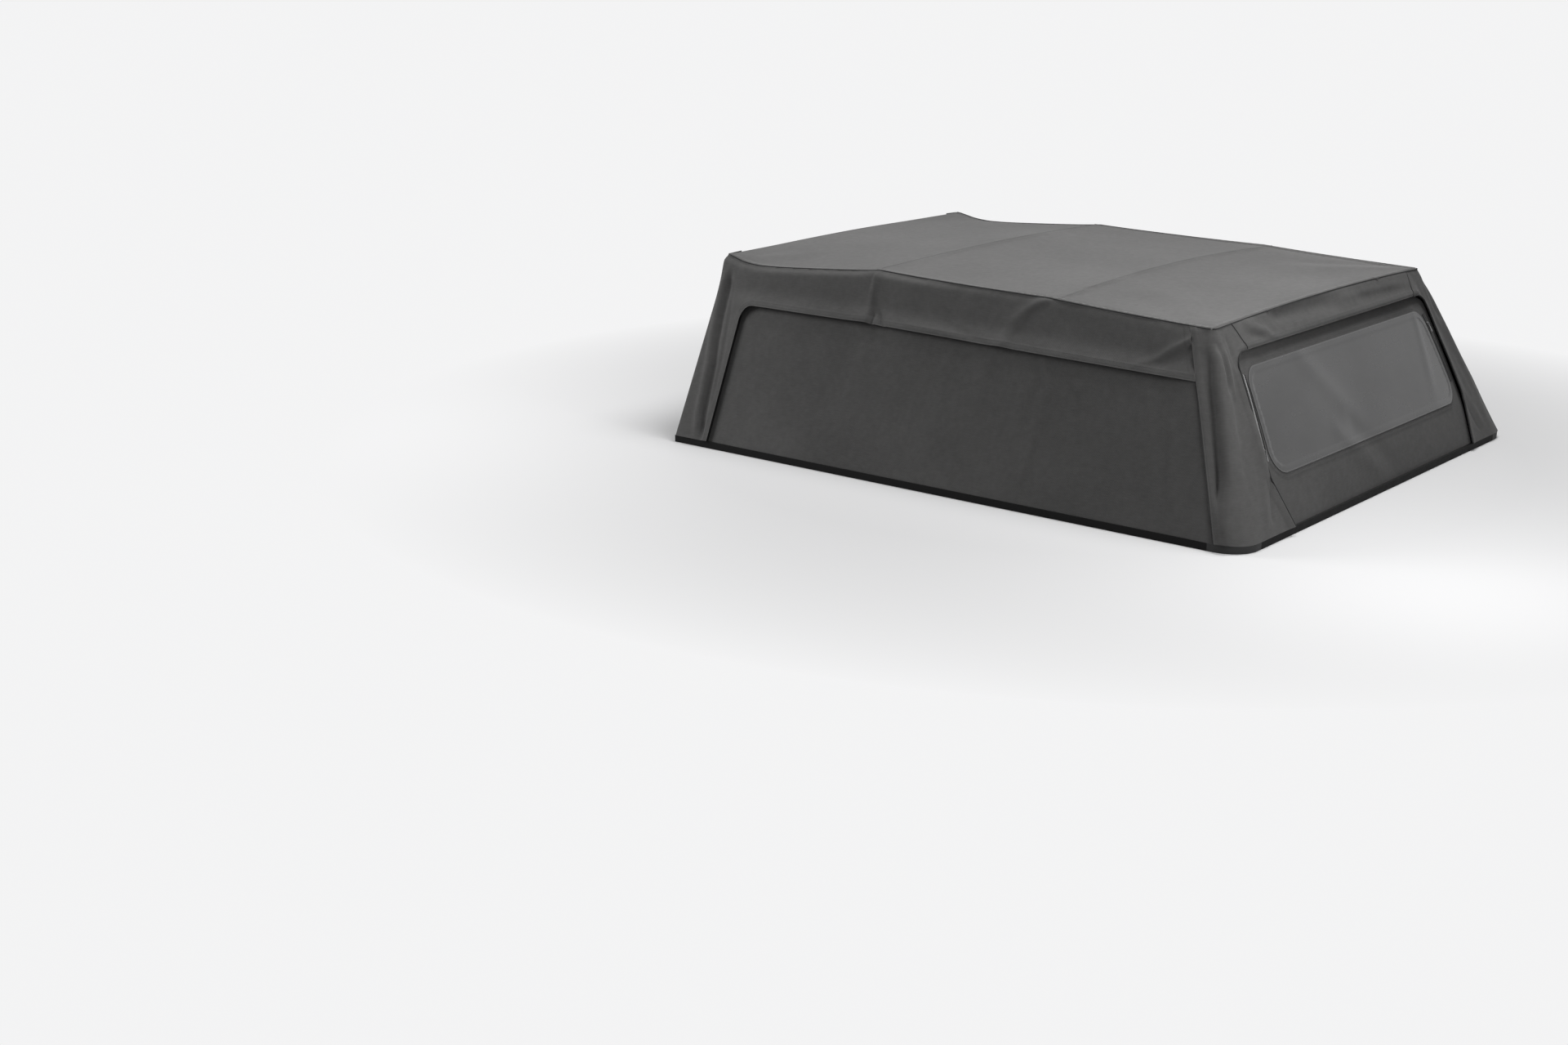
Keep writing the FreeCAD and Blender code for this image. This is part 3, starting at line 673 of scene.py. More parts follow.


# Painted light: the roof is the same cloth as the walls, given a lighter tone for the stronger light that
# falls on the top
ROOF_CLOTH_PAINTED_LIGHT = twill("roof_twill_painted_light", 0.105, 0.012, sheen=0.16)
FRAME_CLOTH = twill("frame_twill", 0.083, 0.012)
CURTAIN_CLOTH = twill("curtain_twill", 0.075, 0.012)
REAR_FILM = film("window_film", 0.068)
RAIL_COAT = coat("rail_powder_coat", 0.006, 0.6, gloss=0.15)
TUBE_COAT = coat("tube_powder_coat", 0.012, 0.38)
PLASTIC = coat("moulded_plastic", 0.016, 0.55, grain=1400.0)
TAPE = twill("zip_tape", 0.012, 0.0, sheen=0.1)
# Partly painted shade: the piping and binding are real, but their near-black tone also paints the shadow
# line along the seams and the corner's opening
PIPING_CLOTH_AND_PAINTED_SHADE = twill("piping_twill_painted_shade", 0.022, 0.0, sheen=0.1)
THREAD = coat("thread", 0.04, 0.6, grain=2200.0)
TEETH = coat("zip_teeth", 0.02, 0.35, grain=1800.0)
# Painted glint: pale teeth for the light caught along the left rear zip; the same teeth are dark elsewhere
GLINT_PAINTED_TEETH = coat("zip_teeth_painted_glint", 0.26, 0.3, grain=1800.0)
PULL = coat("zip_pull", 0.16, 0.28, grain=1600.0, metal=0.6)


# Outlines of the panels, repeated from the part's source
PILLAR_TOP = SKIRT + 0.413
WRAP = 0.07
BOW_2_P = FRONT - STATION_Y[1]
ZIP_LEAN = (0.294 - 0.089) / 0.47


def zip_p(z):
    """Place round the wall of the zip between side and rear corner."""
    return FRONT - REAR - 0.089 - ZIP_LEAN * (z - SKIRT)


def rear_p(x, z):
    """Place round the wall of a point on the left half of the rear."""
    centre_x, centre_y, radius = corner_wrap(z)
    return FRONT - centre_y + radius * ARC + x + centre_x


def side_top(p):
    """The roof seam over the left wall, with a little rise where it passes the front corner."""
    return seam_z(FRONT - np.maximum(p, 0))


def rear_top(x):
    return SKIRT + SEAM[3] + CROWN * (1 - (x / ROOF_HALF[3]) ** 2)


FLAP_REAR_Z = SKIRT + 0.394
opening_edge = rounded([
    (0.14, SKIRT),
    (0.126, PILLAR_TOP, 0.045),
    (BOW_2_P, PILLAR_TOP),
    (zip_p(FLAP_REAR_Z), FLAP_REAR_Z),
])
zip_top_z = seam_z(FRONT - zip_p(0.557))
flap_end = np.array([(zip_p(z), z) for z in np.linspace(FLAP_REAR_Z, zip_top_z, 24)])
seam_line = np.array([(p, side_top(p)) for p in np.linspace(flap_end[-1, 0], 0.0, 240)])
front_top = np.array([(p, side_top(0) + 0.002 * -p / WRAP) for p in np.linspace(0, -WRAP, 12)])
header_outline = np.vstack([opening_edge, flap_end[1:], seam_line[1:], front_top[1:], [(-WRAP, SKIRT)]])

VALANCE_LOW = SKIRT + 0.46
VALANCE_END = (-0.565, VALANCE_LOW)
VALANCE_TOP_END = (-0.592, 0.5575)
REAR_OPENING = rounded([(-0.632, SKIRT), (-0.678, SKIRT + 0.14, 0.12), (-0.638, VALANCE_LOW, 0.048),
                        VALANCE_END])


# Folds of each panel, outward in metres
def soft_floor(out, floor=DEEPEST):
    """Keeps the cloth clear of the frame inside it, without a crease."""
    return floor + 0.0015 * np.logaddexp(0, (out - floor) / 0.0015)


def flap_low(p):
    """Height of the opening's upper edge."""
    return np.interp(p, [0.126, BOW_2_P, 1.72], [PILLAR_TOP, PILLAR_TOP, FLAP_REAR_Z])


def folded(p, z):
    """Where the header's folds are close together."""
    beside_bows = (np.abs(p - 0.65) < 0.09) | (np.abs(p - 1.18) < 0.09)
    return (p < 0.16) | beside_bows | (p > 1.55) | (side_top(p) - z < 0.035)


# Folds as the photo shows them. An upright one is a line from low to high, its width, its height, how
# softly it ends and the width behind it; the others run from a start to an end, with width, height, spread
FULL_Y = [-0.763, -0.2, 0.1, 0.25, 0.38, 0.41, 0.46, 0.8, 0.95]
FULLNESS = [0.003, 0.003, 0.006, 0.015, 0.018, 0.005, 0.017, 0.016, 0.009]
FLARE_Y = [-0.7, -0.3, 0.2, 0.5]
HEM_FLARE = [0.0035, 0.0065, 0.0085, 0.0105]
PILLAR_LINE = np.array([(0.1, 0.04), (0.084, 0.098), (0.066, 0.248), (0.049, 0.323), (0.04, 0.394),
                        (0.03, 0.52)])
PILLAR_CREST = (PILLAR_LINE - (0.013, 0), 0.014, 0.0095, 0.06)
HEADER_UPRIGHTS = [
    ([(0.624, 0.43), (0.616, 0.46), (0.612, 0.52), (0.614, 0.59)], 0.06, 0.0115, 0.03, 0.014),
    ([(1.115, 0.415), (1.128, 0.47), (1.144, 0.507), (1.17, 0.535), (1.235, 0.58)], 0.03, 0.0085, 0.03,
     0.026),
    ([(0.692, 0.42), (0.668, 0.455), (0.65, 0.475)], 0.011, -0.0085),
    ([(0.64, 0.425), (0.634, 0.47)], 0.008, -0.008),
    (PILLAR_LINE + (0.012, 0), 0.011, -0.0095, 0.06),
    ([(0.112, 0.14), (0.1, 0.276), (0.078, 0.408), (0.06, 0.5)], 0.009, -0.004),
    ([(0.122, 0.03), (0.114, 0.12)], 0.006, 0.003),
]
HEADER_FOLDS = [
    ((1.735, 0.532), (1.62, 0.464), 0.0095, 0.0075, 1.4),
    ((1.735, 0.508), (1.63, 0.444), 0.015, -0.006, 1.3),
    ((1.64, 0.468), (1.56, 0.436), 0.009, 0.003, 1.2),
    ((0.76, 0.452), (0.98, 0.44), 0.012, 0.003),
    ((0.9, 0.47), (1.06, 0.43), 0.012, -0.0028),
]
CURTAIN_UPRIGHTS = [
    ([(1.3, 0.1), (1.305, 0.333), (1.282, 0.388), (1.26, 0.43)], 0.014, 0.0048, 0.12),
    ([(1.26, 0.2), (1.27, 0.345), (1.25, 0.392), (1.235, 0.43)], 0.013, -0.0044, 0.12),
    ([(1.45, 0.15), (1.395, 0.321), (1.336, 0.379), (1.31, 0.43)], 0.018, -0.005, 0.12),
]
CURTAIN_FOLDS = [
    ((1.1, 0.44), (1.16, 0.16), 0.018, -0.004, 2.0),
    ((0.62, 0.42), (0.66, 0.12), 0.026, 0.0034, 2.0),
    ((0.94, 0.43), (0.97, 0.14), 0.02, 0.0034, 2.0),
    ((1.62, 0.4), (1.7, 0.08), 0.02, 0.0044, 1.8),
    ((1.56, 0.4), (1.64, 0.1), 0.017, -0.0042, 1.8),
    ((1.72, 0.3), (1.78, 0.06), 0.013, 0.0036, 1.4),
]
CORNER_VALLEY = ([(1.9, 0.13), (1.885, 0.194), (1.858, 0.27), (1.828, 0.348), (1.8, 0.418),
                  (1.778, 0.49)], 0.024, -0.019, 0.08)
CORNER_UPRIGHTS = [
    ([(1.955, 0.03), (1.918, 0.194), (1.886, 0.27), (1.853, 0.348), (1.82, 0.418), (1.79, 0.5)],
     0.024, 0.0165, 0.1),
    ([(1.87, 0.4), (1.852, 0.44), (1.822, 0.48), (1.79, 0.52)], 0.009, -0.008),
    ([(1.905, 0.38), (1.865, 0.44), (1.822, 0.5)], 0.01, 0.0065),
    ([(1.905, 0.44), (1.86, 0.5), (1.832, 0.53)], 0.009, -0.004),
    ([(2.03, 0.04), (1.985, 0.19), (1.93, 0.33), (1.895, 0.42)], 0.024, -0.006, 0.12),
    ([(2.115, 0.05), (2.07, 0.192), (1.995, 0.31)], 0.02, 0.007, 0.1),
    ([(2.158, 0.05), (2.141, 0.1), (2.118, 0.16)], 0.008, -0.0055),
]
VALANCE_END_FOLDS = [
    ((-0.53, 0.545), (-0.42, 0.5), 0.022, 0.011),
    ((-0.535, 0.52), (-0.4, 0.48), 0.012, -0.005),
]
VALANCE_FOLDS = [
    ((-0.36, 0.542), (0.02, 0.534), 0.022, -0.0105),
    ((-0.3, 0.512), (0.08, 0.5), 0.012, 0.004),
    ((0.1, 0.54), (0.52, 0.53), 0.013, 0.004),
    ((0.2, 0.524), (0.52, 0.51), 0.018, -0.0055),
]
REAR_FOLDS = [
    ((-0.3, 0.44), (-0.05, 0.17), 0.04, 0.0022),
    ((-0.244, 0.214), (-0.004, 0.039), 0.03, 0.0026),
    ((-0.14, 0.225), (0.09, 0.05), 0.034, -0.0026),
    ((0.545, 0.428), (0.47, 0.2), 0.016, 0.0016, 2.0),
]
ROOF_FOLDS = [
    ((-0.66, -0.74), (-0.36, -0.5), 0.03, 0.004, 2.0),
    ((-0.67, -0.66), (-0.45, -0.4), 0.026, -0.003, 2.0),
    ((-0.64, 0.96), (-0.4, 0.76), 0.03, 0.002, 2.0),
]


def header_lift(seed):
    """The flap is full under the roof seam and flares at its hem; the pillar has long upright folds."""
    def lift(p, z, edge):
        y = FRONT - p
        low, high = flap_low(p), side_top(p)
        above = z - low
        under = high - z
        v = np.clip(above / (high - low), 0, 1)
        flap = ramp((z - low + 0.03) / 0.03) * ramp((p - 0.06) / 0.1)
        out = np.interp(y, FULL_Y, FULLNESS) * (1 - bell(under, 0.014)) * bell(under, 0.07) * 1.25
        hem_flare = np.interp(y, FLARE_Y, HEM_FLARE) * ramp((0.052 - above) / 0.052)
        out = out + (hem_flare - 0.003 * bell(above - 0.056, 0.022)) * flap
        out = out + 0.006 * bell(edge, 0.02) * (1 - flap)
        out = out - 0.0055 * hang(y) * 4 * v * (1 - v) * ramp(v * 4)
        out = out - 0.004 * bell(p - 1.3, 0.1) * bell(z - 0.52, 0.045)
        out = out + summed(upright, p, z, HEADER_UPRIGHTS) + summed(fold, p, z, HEADER_FOLDS)
        out = out + upright(p, z, *PILLAR_CREST) * ramp(p / 0.02)
        out = out + 0.0009 * waves(p, z, seed, 0.16, 0.22) * ramp(v * 3)
        return soft_floor(out) * ramp((high + 0.001 - z) / 0.008) * ramp((p + 0.03) / 0.03)
    return lift


def curtain_lift(seed):
    """Taut and set well back beside the pillar and the flap, with faint upright draws."""
    def lift(p, z, edge):
        y = FRONT - p
        v = (z - SKIRT) / 0.42
        beside_zip = ramp((p - zip_p(z) + 0.1) / 0.1)
        back = np.maximum(0.45 * ramp((0.3 - p) / 0.16), ramp((z - 0.36) / 0.06))
        out = lerp(-LAYER, DEEPEST + 0.001, back * (1 - beside_zip)) + 0.004 * beside_zip
        out = out - 0.003 * hang(y) * 4 * v * (1 - v)
        out = out + 0.0016 * waves(p + 0.06 * z, z, seed, 0.22, 1.6) * ramp(v * 5)
        out = out + summed(upright, p, z, CURTAIN_UPRIGHTS) + summed(fold, p, z, CURTAIN_FOLDS)
        return soft_floor(out, CURTAIN_DEEPEST)
    return lift


def flare(z, ends):
    """The valance stands further off towards its hem, less so beside the corner panels."""
    v = np.clip((z - VALANCE_LOW) / 0.075, 0, 1)
    return 0.0022 + lerp(0.0095, 0.0165, ends) * (1 - v) ** 1.5 - 0.005 * bell(v, 0.06)


def corner_lift(seed, depth):
    """Long folds fan out from the roof's corner and run down the wrap between side and rear."""
    def lift(p, z, edge):
        open_x = np.interp(z, [SKIRT, SKIRT + 0.14, VALANCE_LOW - 0.02, VALANCE_LOW + 0.07],
                           [-0.632, -0.672, -0.636, -0.6])
        first = zip_p(z)
        t = (p - first) / (rear_p(open_x, z) - first)
        v = np.clip((z - SKIRT) / 0.532, 0, 1)
        out = upright(p, z, *CORNER_VALLEY) * ramp(edge / 0.02) + summed(upright, p, z, CORNER_UPRIGHTS)
        out = out * depth + 0.003 * bell(t - 0.12, 0.1) * ramp(v * 2)
        out = out + 0.006 * bell(edge, 0.018) * ramp((t - 0.5) * 4) + 0.0015 * bell(edge, 0.01)
        out = out + 0.0009 * waves(t, v, seed, 0.3, 2.2)
        beside_valance = ramp((z - VALANCE_LOW + 0.01) / 0.02) * ramp((t - 0.85) / 0.35)
        out = lerp(out, flare(z, 0.0), beside_valance)
        rim = rear_top(np.clip(open_x, -0.69, 0)) + 0.001
        return out * ramp((rim - z) / 0.014)
    return lift


def valance_lift(x, z, edge):
    """Flared towards its hem, which curls under, with draws across it."""
    v = np.clip((z - VALANCE_LOW) / (rear_top(x) - VALANCE_LOW), 0, 1)
    ends = ramp((0.588 - np.abs(x)) / 0.11)
    out = flare(z, ends) + summed(fold, x, z, VALANCE_END_FOLDS) * ends + summed(fold, x, z, VALANCE_FOLDS)
    out = out + 0.0016 * waves(x, z, 31, 0.24, 0.3) * np.sin(math.pi * v) * ends
    return out * ramp((rear_top(x) + 0.001 - z) / 0.008)


def rear_lift(x, z, edge):
    """Set back beside the corner panels and full in the middle."""
    v = np.clip((z - SKIRT) / 0.47, 0, 1)
    middle = 1 - np.clip(np.abs(x) / 0.7, 0, 1) ** 4
    out = -0.0095 + 0.0225 * np.sin(math.pi * v ** 0.85) ** 0.8 * middle
    out = out + 0.0014 * waves(x - 0.7 * z, z, 41, 0.55, 1.1) * np.sin(math.pi * v)
    return out + summed(fold, x, z, REAR_FOLDS) - 0.01 * ramp((z - VALANCE_LOW + 0.025) / 0.03)


def front_lift(x, z, edge):
    """A little full in the middle."""
    v = np.clip((z - SKIRT) / 0.54, 0, 1)
    return 0.004 * np.sin(math.pi * v) * (1 - (x / 0.85) ** 2) + 0.0008 * waves(x, z, 51, 0.4, 0.4)


def raised(lift, height):
    """The same folds, a little further out."""
    return lambda a, b, edge: lift(a, b, edge) + height


def flat_lift(height):
    return lambda a, b, edge: np.full_like(a, height)


SEAM_BAND = 0.008
BOW_SEAMS = [(STATION_Y[1], 0.01), (STATION_Y[2], -0.024)]


def roof_lift(x, y, edge):
    """Two lapped cross seams, a welt along the sides and slow draws from the corners."""
    out = 0.0009 * waves(x, y, 61, 1.3, 0.35) * ramp(edge / 0.15)
    for bow_y, bend in BOW_SEAMS:
        off = y - bow_y - bend * (x / 0.6) ** 2
        out = out + 0.0026 * ramp((SEAM_BAND / 2 - np.abs(off)) / 0.0025 + 0.5)
    welt = ramp((0.1 - y) / 0.25)
    out = out + 0.0032 * bell(edge - 0.011, 0.006) * lerp(0.35, 1, welt)
    out = out - 0.003 * bell(edge - 0.024, 0.005) * welt
    for side in (-1, 1):
        out = out + summed(fold, side * x, y, ROOF_FOLDS)
    return out - 0.0022 * bell(edge, 0.005)


# Fabric panels
REAR_TURN = STATION_Y[3] + 0.004


def roof_height(p, z):
    """Height of the roof's edge over the places that the wall has at a height."""
    x, y, _ = wall(p, z).T
    return np.where(y > REAR_TURN, side_top(p), rear_top(x))


edge_p = np.concatenate([np.linspace(0, 1.7, 200), np.linspace(1.705, rear_p(0.0, 0.566), 160)])
edge_z = side_top(edge_p)
for _ in range(3):
    edge_z = roof_height(edge_p, edge_z)
roof_edge = wall(edge_p, edge_z)[:, :2]
roof_edge = roof_edge[roof_edge[:, 0] < -0.003]
roof_outline = np.vstack([roof_edge, [(0, roof_edge[-1, 1])], roof_edge[::-1] * MIRROR])
roof_panel = Panel(roof, roof_outline, roof_lift, hems=[roof_edge, roof_edge * MIRROR], spacing=0.013)
cloth(roof_panel, "roof_sheet", ROOF_CLOTH_PAINTED_LIGHT, ["roof_deck"])

corner_open = np.array([(rear_p(x, z), z) for x, z in REAR_OPENING])
valance_side = np.array([(rear_p(x, z), z) for x, z in np.linspace(VALANCE_END, VALANCE_TOP_END, 12)])
top_p = np.linspace(valance_side[-1, 0], flap_end[-1, 0], 70)[1:-1]
corner_top = np.stack([top_p, roof_height(top_p, np.full_like(top_p, 0.556))], axis=1)
corner_zip = np.array([(zip_p(z) + ZIP_GAP * np.clip((FLAP_REAR_Z - z) / 0.05, 0.15, 1), z)
                       for z in np.linspace(SKIRT, zip_top_z, 90)])
corner_outline = np.vstack([corner_open, valance_side[1:], corner_top, corner_zip[::-1]])
curtain_outline = [(0.112, SKIRT), (zip_p(SKIRT) - ZIP_GAP, SKIRT), (zip_p(0.44) - ZIP_GAP, 0.44),
                   (0.11, 0.446)]
for side, mirror, seed, depth in (("left", False, 3, 1.0), ("right", True, 8, 0.4)):
    header = Panel(wall, header_outline, header_lift(seed), hems=[opening_edge, flap_end], spacing=0.0085,
                   stretch=SIDE_SLOPE, fine=folded)
    cloth(header, "header_" + side, FRAME_CLOTH,
          ["side_flap_" + side, "front_pillar_" + side], mirror)
    corner = Panel(wall, corner_outline, corner_lift(seed + 1, depth), hems=[corner_zip, corner_open],
                   spacing=0.005, stretch=REAR_SLOPE)
    cloth(corner, "rear_corner_cloth_" + side, FRAME_CLOTH,
          ["rear_corner_" + side], mirror)
    curtain = Panel(wall, curtain_outline, curtain_lift(seed + 2), spacing=0.01, stretch=REAR_SLOPE)
    cloth(curtain, "side_curtain_cloth_" + side, CURTAIN_CLOTH,
          ["side_curtain_" + side], mirror)

valance_left = np.linspace(VALANCE_END, VALANCE_TOP_END, 14) + (SEAM_GAP, 0)
valance_top = np.array([(x, rear_top(x)) for x in np.linspace(-0.592, 0.592, 120)])
valance_base = np.array([(-0.565, VALANCE_LOW), (0.565, VALANCE_LOW)])
valance_outline = np.vstack([valance_left, valance_top[1:-1], (valance_left * MIRROR)[::-1]])
valance = Panel(rear_wall, valance_outline, valance_lift, hems=[valance_base], spacing=0.006,
                stretch=REAR_SLOPE)
cloth(valance, "rear_valance_cloth", FRAME_CLOTH,
      ["rear_valance"])

REAR_BEND, REAR_TOP = SKIRT + 0.14, VALANCE_LOW + 0.012
WINDOW_ROUND = 0.062
WINDOW_MIDDLE = SKIRT + (0.137 + 0.415) / 2
FILM_GROWN = np.array([1.006, 1.025])


def window_outline(low_half, low, high_half, high):
    """A window with round corners, from the middle of its lower edge all the way round."""
    return rounded([
        (0, low), (-low_half, low, WINDOW_ROUND), (-high_half, high, WINDOW_ROUND),
        (high_half, high, WINDOW_ROUND), (low_half, low, WINDOW_ROUND), (0, low),
    ])[:-1]


rear_curve = rounded([(-0.655, SKIRT), (-0.692, REAR_BEND, 0.18), (-0.65, REAR_TOP, 0.056),
                      (0.65, REAR_TOP, 0.056), (0.692, REAR_BEND, 0.18), (0.655, SKIRT)])
window_curve = window_outline(0.636, SKIRT + 0.137, 0.596, SKIRT + 0.415)
rear_panel = Panel(rear_wall, rear_curve, rear_lift, hems=[looped(window_curve)], hole=window_curve,
                   spacing=0.009, stretch=REAR_SLOPE)
cloth(rear_panel, "rear_curtain_cloth", CURTAIN_CLOTH,
      ["rear_curtain"])
film_curve = (window_curve - (0, WINDOW_MIDDLE)) * FILM_GROWN + (0, WINDOW_MIDDLE)
window_panel = Panel(rear_wall, film_curve, raised(rear_lift, FILM_RAISED), hems=[looped(film_curve)],
                     spacing=0.009, stretch=REAR_SLOPE)
cloth(window_panel, "rear_window_film", REAR_FILM,
      ["rear_window"])

front_top_line = np.array([(x, SKIRT + SEAM[0] + CROWN * (1 - (x / ROOF_HALF[0]) ** 2))
                           for x in np.linspace(-0.597, 0.597, 60)])
front_base = HALF - WRAP
front_outline = np.vstack([[(-front_base, SKIRT)], front_top_line, [(front_base, SKIRT)]])


def front_half(z):
    """Half the width of the front wall between the pillars' wraps."""
    return HALF - (HALF - ROOF_HALF[0]) * (z - SKIRT) / SEAM[0] - WRAP


front_low, front_high = SKIRT + 0.11, SKIRT + 0.45
front_window = window_outline(front_half(front_low) - 0.108, front_low, front_half(front_high) - 0.085,
                              front_high)
front_panel = Panel(front_wall, front_outline, front_lift, hems=[looped(front_window)], hole=front_window,
                    spacing=0.012)
cloth(front_panel, "front_panel_cloth", CURTAIN_CLOTH,
      ["front_panel"])
front_film_curve = front_window * (1.012, 1.0) + (front_window - front_window.mean(0)) * (0, 0.03)
front_film = Panel(front_wall, front_film_curve, raised(front_lift, FILM_RAISED),
                   hems=[looped(front_film_curve)], spacing=0.012)
cloth(front_film, "front_window_film", REAR_FILM,
      ["front_window"])

# Zips, topstitching, piping and bindings. The rows of both sides follow the right-hand header and corner
side_zip_line = np.array([(zip_p(z), z) for z in np.linspace(SKIRT + 0.001, 0.425, 60)])
pillar_zip_line = np.array([(lerp(0.14, 0.126, (z - SKIRT) / 0.413) - 0.0135, z)
                            for z in np.linspace(SKIRT + 0.001, PILLAR_TOP - 0.03, 60)])
rear_zip_line = resample(rounded([(-0.651, 0.215), (-0.64, 0.28, 0.5), (-0.627, 0.35, 0.5),
                                  (-0.616, 0.425)]), 0.006)
LOWER_END, UPPER_END = 3, 66
for side, mirror in (("left", False), ("right", True)):
    for name, line, back in (("side_zip_" + side, side_zip_line, SIDE_ZIP_BACK),
                             ("pillar_zip_" + side, pillar_zip_line, PILLAR_ZIP_BACK)):
        zipper(name, wall, line, flat_lift(back), TEETH, mirror, [name])
    # The left rear zip gets the pale teeth with the painted glint, the right one the plain dark teeth
    tape = zipper("rear_zip_" + side, rear_wall, rear_zip_line, raised(rear_lift, REAR_ZIP_RAISED),
                  TEETH if mirror else GLINT_PAINTED_TEETH, mirror,
                  [] if mirror else ["rear_zip"])
    slider("rear_zip_pull_" + side, tape, rear_zip_line, UPPER_END if mirror else LOWER_END, mirror)
    stitching("side_stitching_" + side, [
        (header, opening_edge, 0.005), (header, opening_edge, 0.015), (header, flap_end, 0.006),
        (header, seam_line, 0.0055), (corner, corner_zip, -0.006), (corner, corner_open, 0.0055),
        (corner, valance_side, 0.0045),
    ], mirror)
    side_seam = roof(*roof_edge[roof_edge[:, 1] > STATION_Y[3] + 0.012].T) + (0, 0, 0.0006)
    cord_of_cloth("side_piping_" + side, side_seam[::2], PIPING, PIPING_CLOTH_AND_PAINTED_SHADE, mirror)
    # The dark binding along the corner's opening also paints the shadow line beside that edge
    path, outward = corner.place(resample(np.vstack([corner_open, valance_side[1:]]), 0.006))
    cord_of_cloth("corner_binding_" + side, path - outward * CLOTH / 2, BINDING, PIPING_CLOTH_AND_PAINTED_SHADE,
                  mirror)
rear_seam = roof(*roof_outline[roof_outline[:, 1] < STATION_Y[3] + 0.012].T) + (0, -0.0004, 0.0004)
cord_of_cloth("rear_piping", rear_seam[::2], PIPING, PIPING_CLOTH_AND_PAINTED_SHADE)
window_seam = window_curve * (1.022, 1.0) + (window_curve - (0, WINDOW_MIDDLE)) * (0, 0.075)
stitching("rear_stitching", [
    (valance, valance_base, 0.006), (valance, valance_base, 0.015), (rear_panel, looped(window_seam), 0),
    (window_panel, looped(film_curve), -0.0045),
])
stitching("front_stitching", [(front_film, looped(front_film_curve), -0.0045)])
roof_rows = []
for bow_y, bend in BOW_SEAMS:
    reach = along(bow_y, ROOF_HALF) - 0.02
    x = np.linspace(-reach, reach, 90)
    for off in (-SEAM_BAND / 2 + 0.0015, SEAM_BAND / 2 - 0.0015):
        roof_rows.append((roof_panel, np.stack([x, bow_y + bend * (x / 0.6) ** 2 + off], axis=1), 0))
for turn in (1, -1):
    roof_rows.append((roof_panel, roof_edge[8:-4] * (turn, 1), 0.006 * turn))
stitching("roof_stitching", roof_rows)

# CAD pieces that keep their shape
for name, body in nodes.items():
    if name.startswith(("bow_socket", "corner_cap")):
        finish = PLASTIC
    elif name.startswith("bow"):
        finish = TUBE_COAT
    else:
        finish = RAIL_COAT
    body.data.materials.clear()
    body.data.materials.append(finish)


# Stage: a pale floor that runs out into the backdrop, soft light from above and behind, the photo's camera
BACKDROP = (0.9, 0.9, 0.905, 1)
FLOOR = (0.72, 0.72, 0.725, 1)
FLOOR_BOUNCE = (0.34, 0.34, 0.345, 1)


def seen_rays(tree, path):
    """1 for rays that show the backdrop: straight to the camera, in a gloss or through a film."""
    first = maths(tree, "MAXIMUM", path.outputs["Is Camera Ray"], path.outputs["Is Glossy Ray"])
    return maths(tree, "MAXIMUM", first, path.outputs["Is Transmission Ray"])


def stage_floor():
    mesh = bpy.data.meshes.new("floor")
    reach = 40.0
    corners = [(-reach, -reach, 0), (reach, -reach, 0), (reach, reach, 0), (-reach, reach, 0)]
    mesh.from_pydata(corners, [], [(0, 1, 2, 3)])
    made, tree, shader = material("floor_paint", Roughness=0.7, Specular_IOR_Level=0.2)
    path = node(tree, "ShaderNodeLightPath")
    link(tree, mix(tree, path.outputs["Is Camera Ray"], FLOOR_BOUNCE, FLOOR), shader.inputs["Base Color"])
    where = node(tree, "ShaderNodeTexCoord").outputs["Object"]
    radius = node(tree, "ShaderNodeVectorMath", {0: where}, operation="LENGTH").outputs["Value"]
    away = spread(tree, radius, 1.35, 2.5)
    back = node(tree, "ShaderNodeEmission", {"Color": BACKDROP, "Strength": 1.0})
    share = maths(tree, "MULTIPLY", away, seen_rays(tree, path))
    blend = node(tree, "ShaderNodeMixShader", {"Fac": share, 1: shader.outputs["BSDF"],
                                               2: back.outputs["Emission"]})
    link(tree, blend.outputs["Shader"], tree.nodes["Material Output"].inputs["Surface"])
    floor = placed("floor", mesh, made)


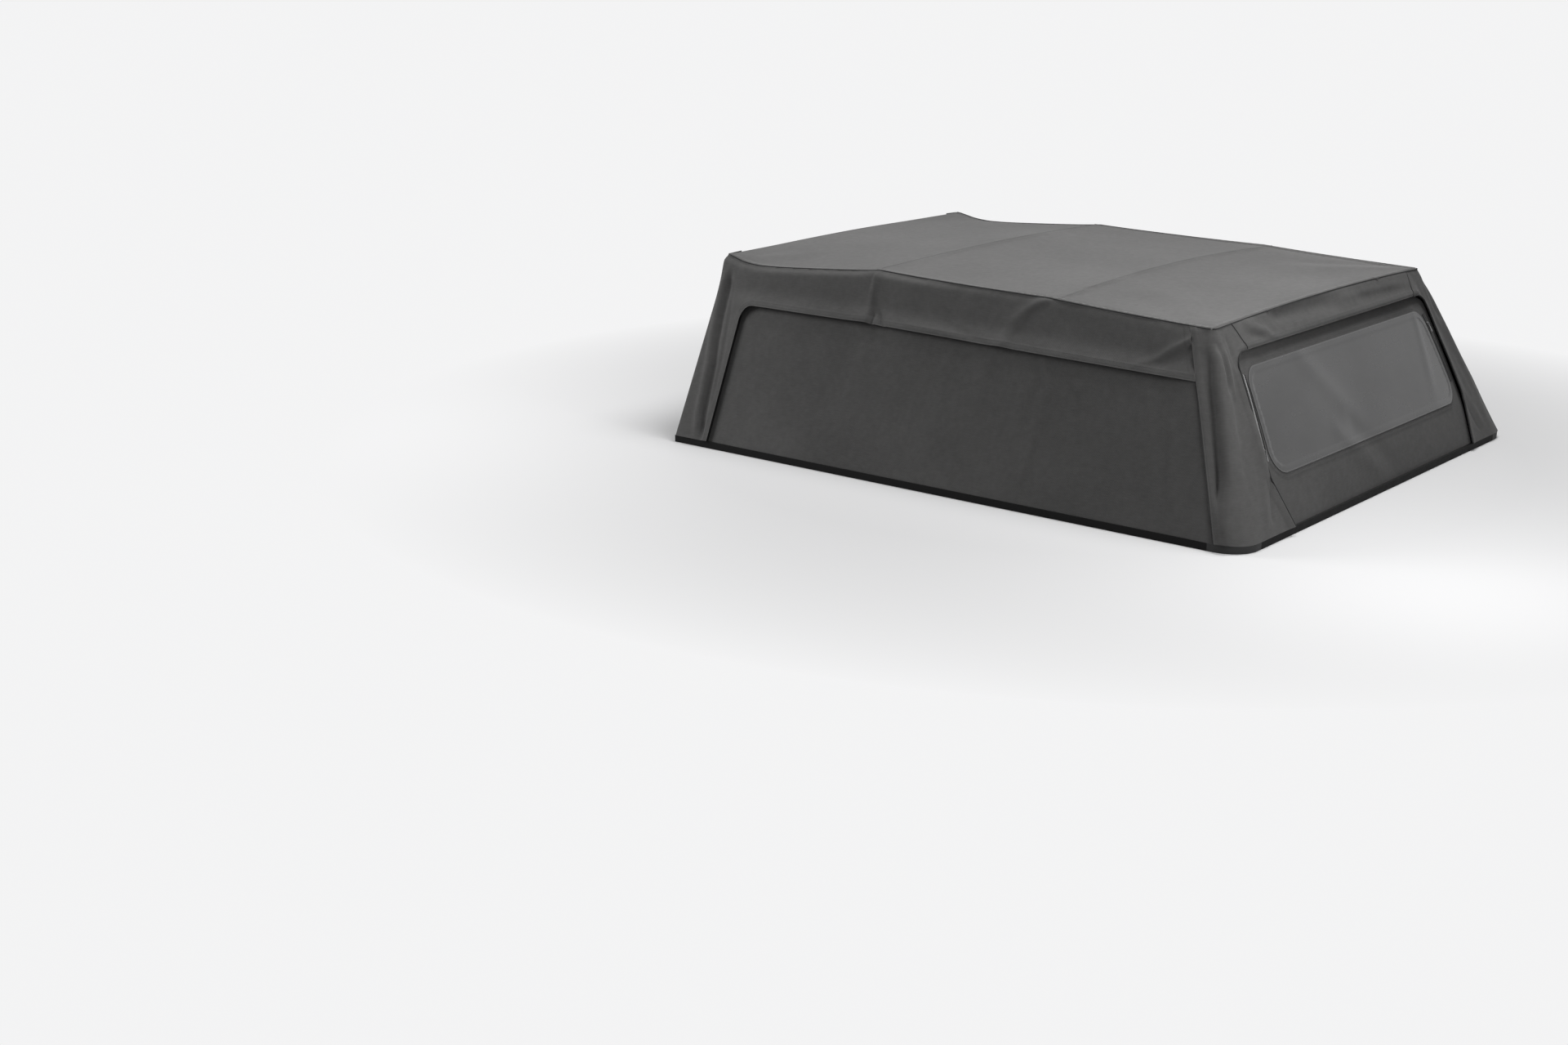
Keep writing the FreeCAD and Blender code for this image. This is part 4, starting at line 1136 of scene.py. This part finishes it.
def stage_world():
    world = bpy.data.worlds.new("studio")
    bpy.context.scene.world = world
    world.use_nodes = True
    tree = world.node_tree
    tree.nodes.clear()
    seen = seen_rays(tree, node(tree, "ShaderNodeLightPath"))
    light = node(tree, "ShaderNodeBackground", {"Color": (1, 1, 1, 1), "Strength": 0.14})
    back = node(tree, "ShaderNodeBackground", {"Color": BACKDROP, "Strength": 1.0})
    blend = node(tree, "ShaderNodeMixShader", {"Fac": seen, 1: light.outputs[0], 2: back.outputs[0]})
    output = node(tree, "ShaderNodeOutputWorld")
    link(tree, blend.outputs["Shader"], output.inputs["Surface"])


def lamp(name, place, target, size, power):
    data = bpy.data.lights.new(name, "AREA")
    data.shape = "DISK"
    data.size = size
    data.energy = power
    body = bpy.data.objects.new(name, data)
    body.location = place
    body.rotation_euler = (Vector(target) - Vector(place)).to_track_quat("-Z", "Y").to_euler()
    bpy.context.scene.collection.objects.link(body)


def camera():
    """The photo's own camera: place, direction, lens and the shift of its frame."""
    azimuth, elevation, roll = (math.radians(v) for v in (50.2527, 15.3518, 0.2011))
    forward = Vector((math.sin(azimuth) * math.cos(elevation), math.cos(azimuth) * math.cos(elevation),
                      -math.sin(elevation)))
    level = forward.cross(Vector((0, 0, 1))).normalized()
    above = level.cross(forward)
    right = math.cos(roll) * level + math.sin(roll) * above
    up = -math.sin(roll) * level + math.cos(roll) * above
    data = bpy.data.cameras.new("photo_camera")
    data.sensor_width = 36
    data.lens = 49.92
    data.shift_x, data.shift_y = 0.0321, -0.013
    body = bpy.data.objects.new("photo_camera", data)
    turn = Matrix((right, up, -forward)).transposed().to_4x4()
    body.matrix_world = Matrix.Translation((-6.0718, -3.5175, 1.6773)) @ turn
    bpy.context.scene.collection.objects.link(body)
    bpy.context.scene.camera = body


stage_floor()
stage_world()
lamp("overhead", (0.5, -0.8, 4.0), (0, -0.1, 0.3), 2.2, 122)
lamp("front_side", (-2.3, 2.9, 1.7), (-0.8, 0.9, 0.3), 1.7, 62)
lamp("rear", (-1.05, -2.0, 1.1), (-0.75, -0.9, 0.35), 0.55, 11.5)
camera()
bpy.context.scene.view_settings.view_transform = "Standard"
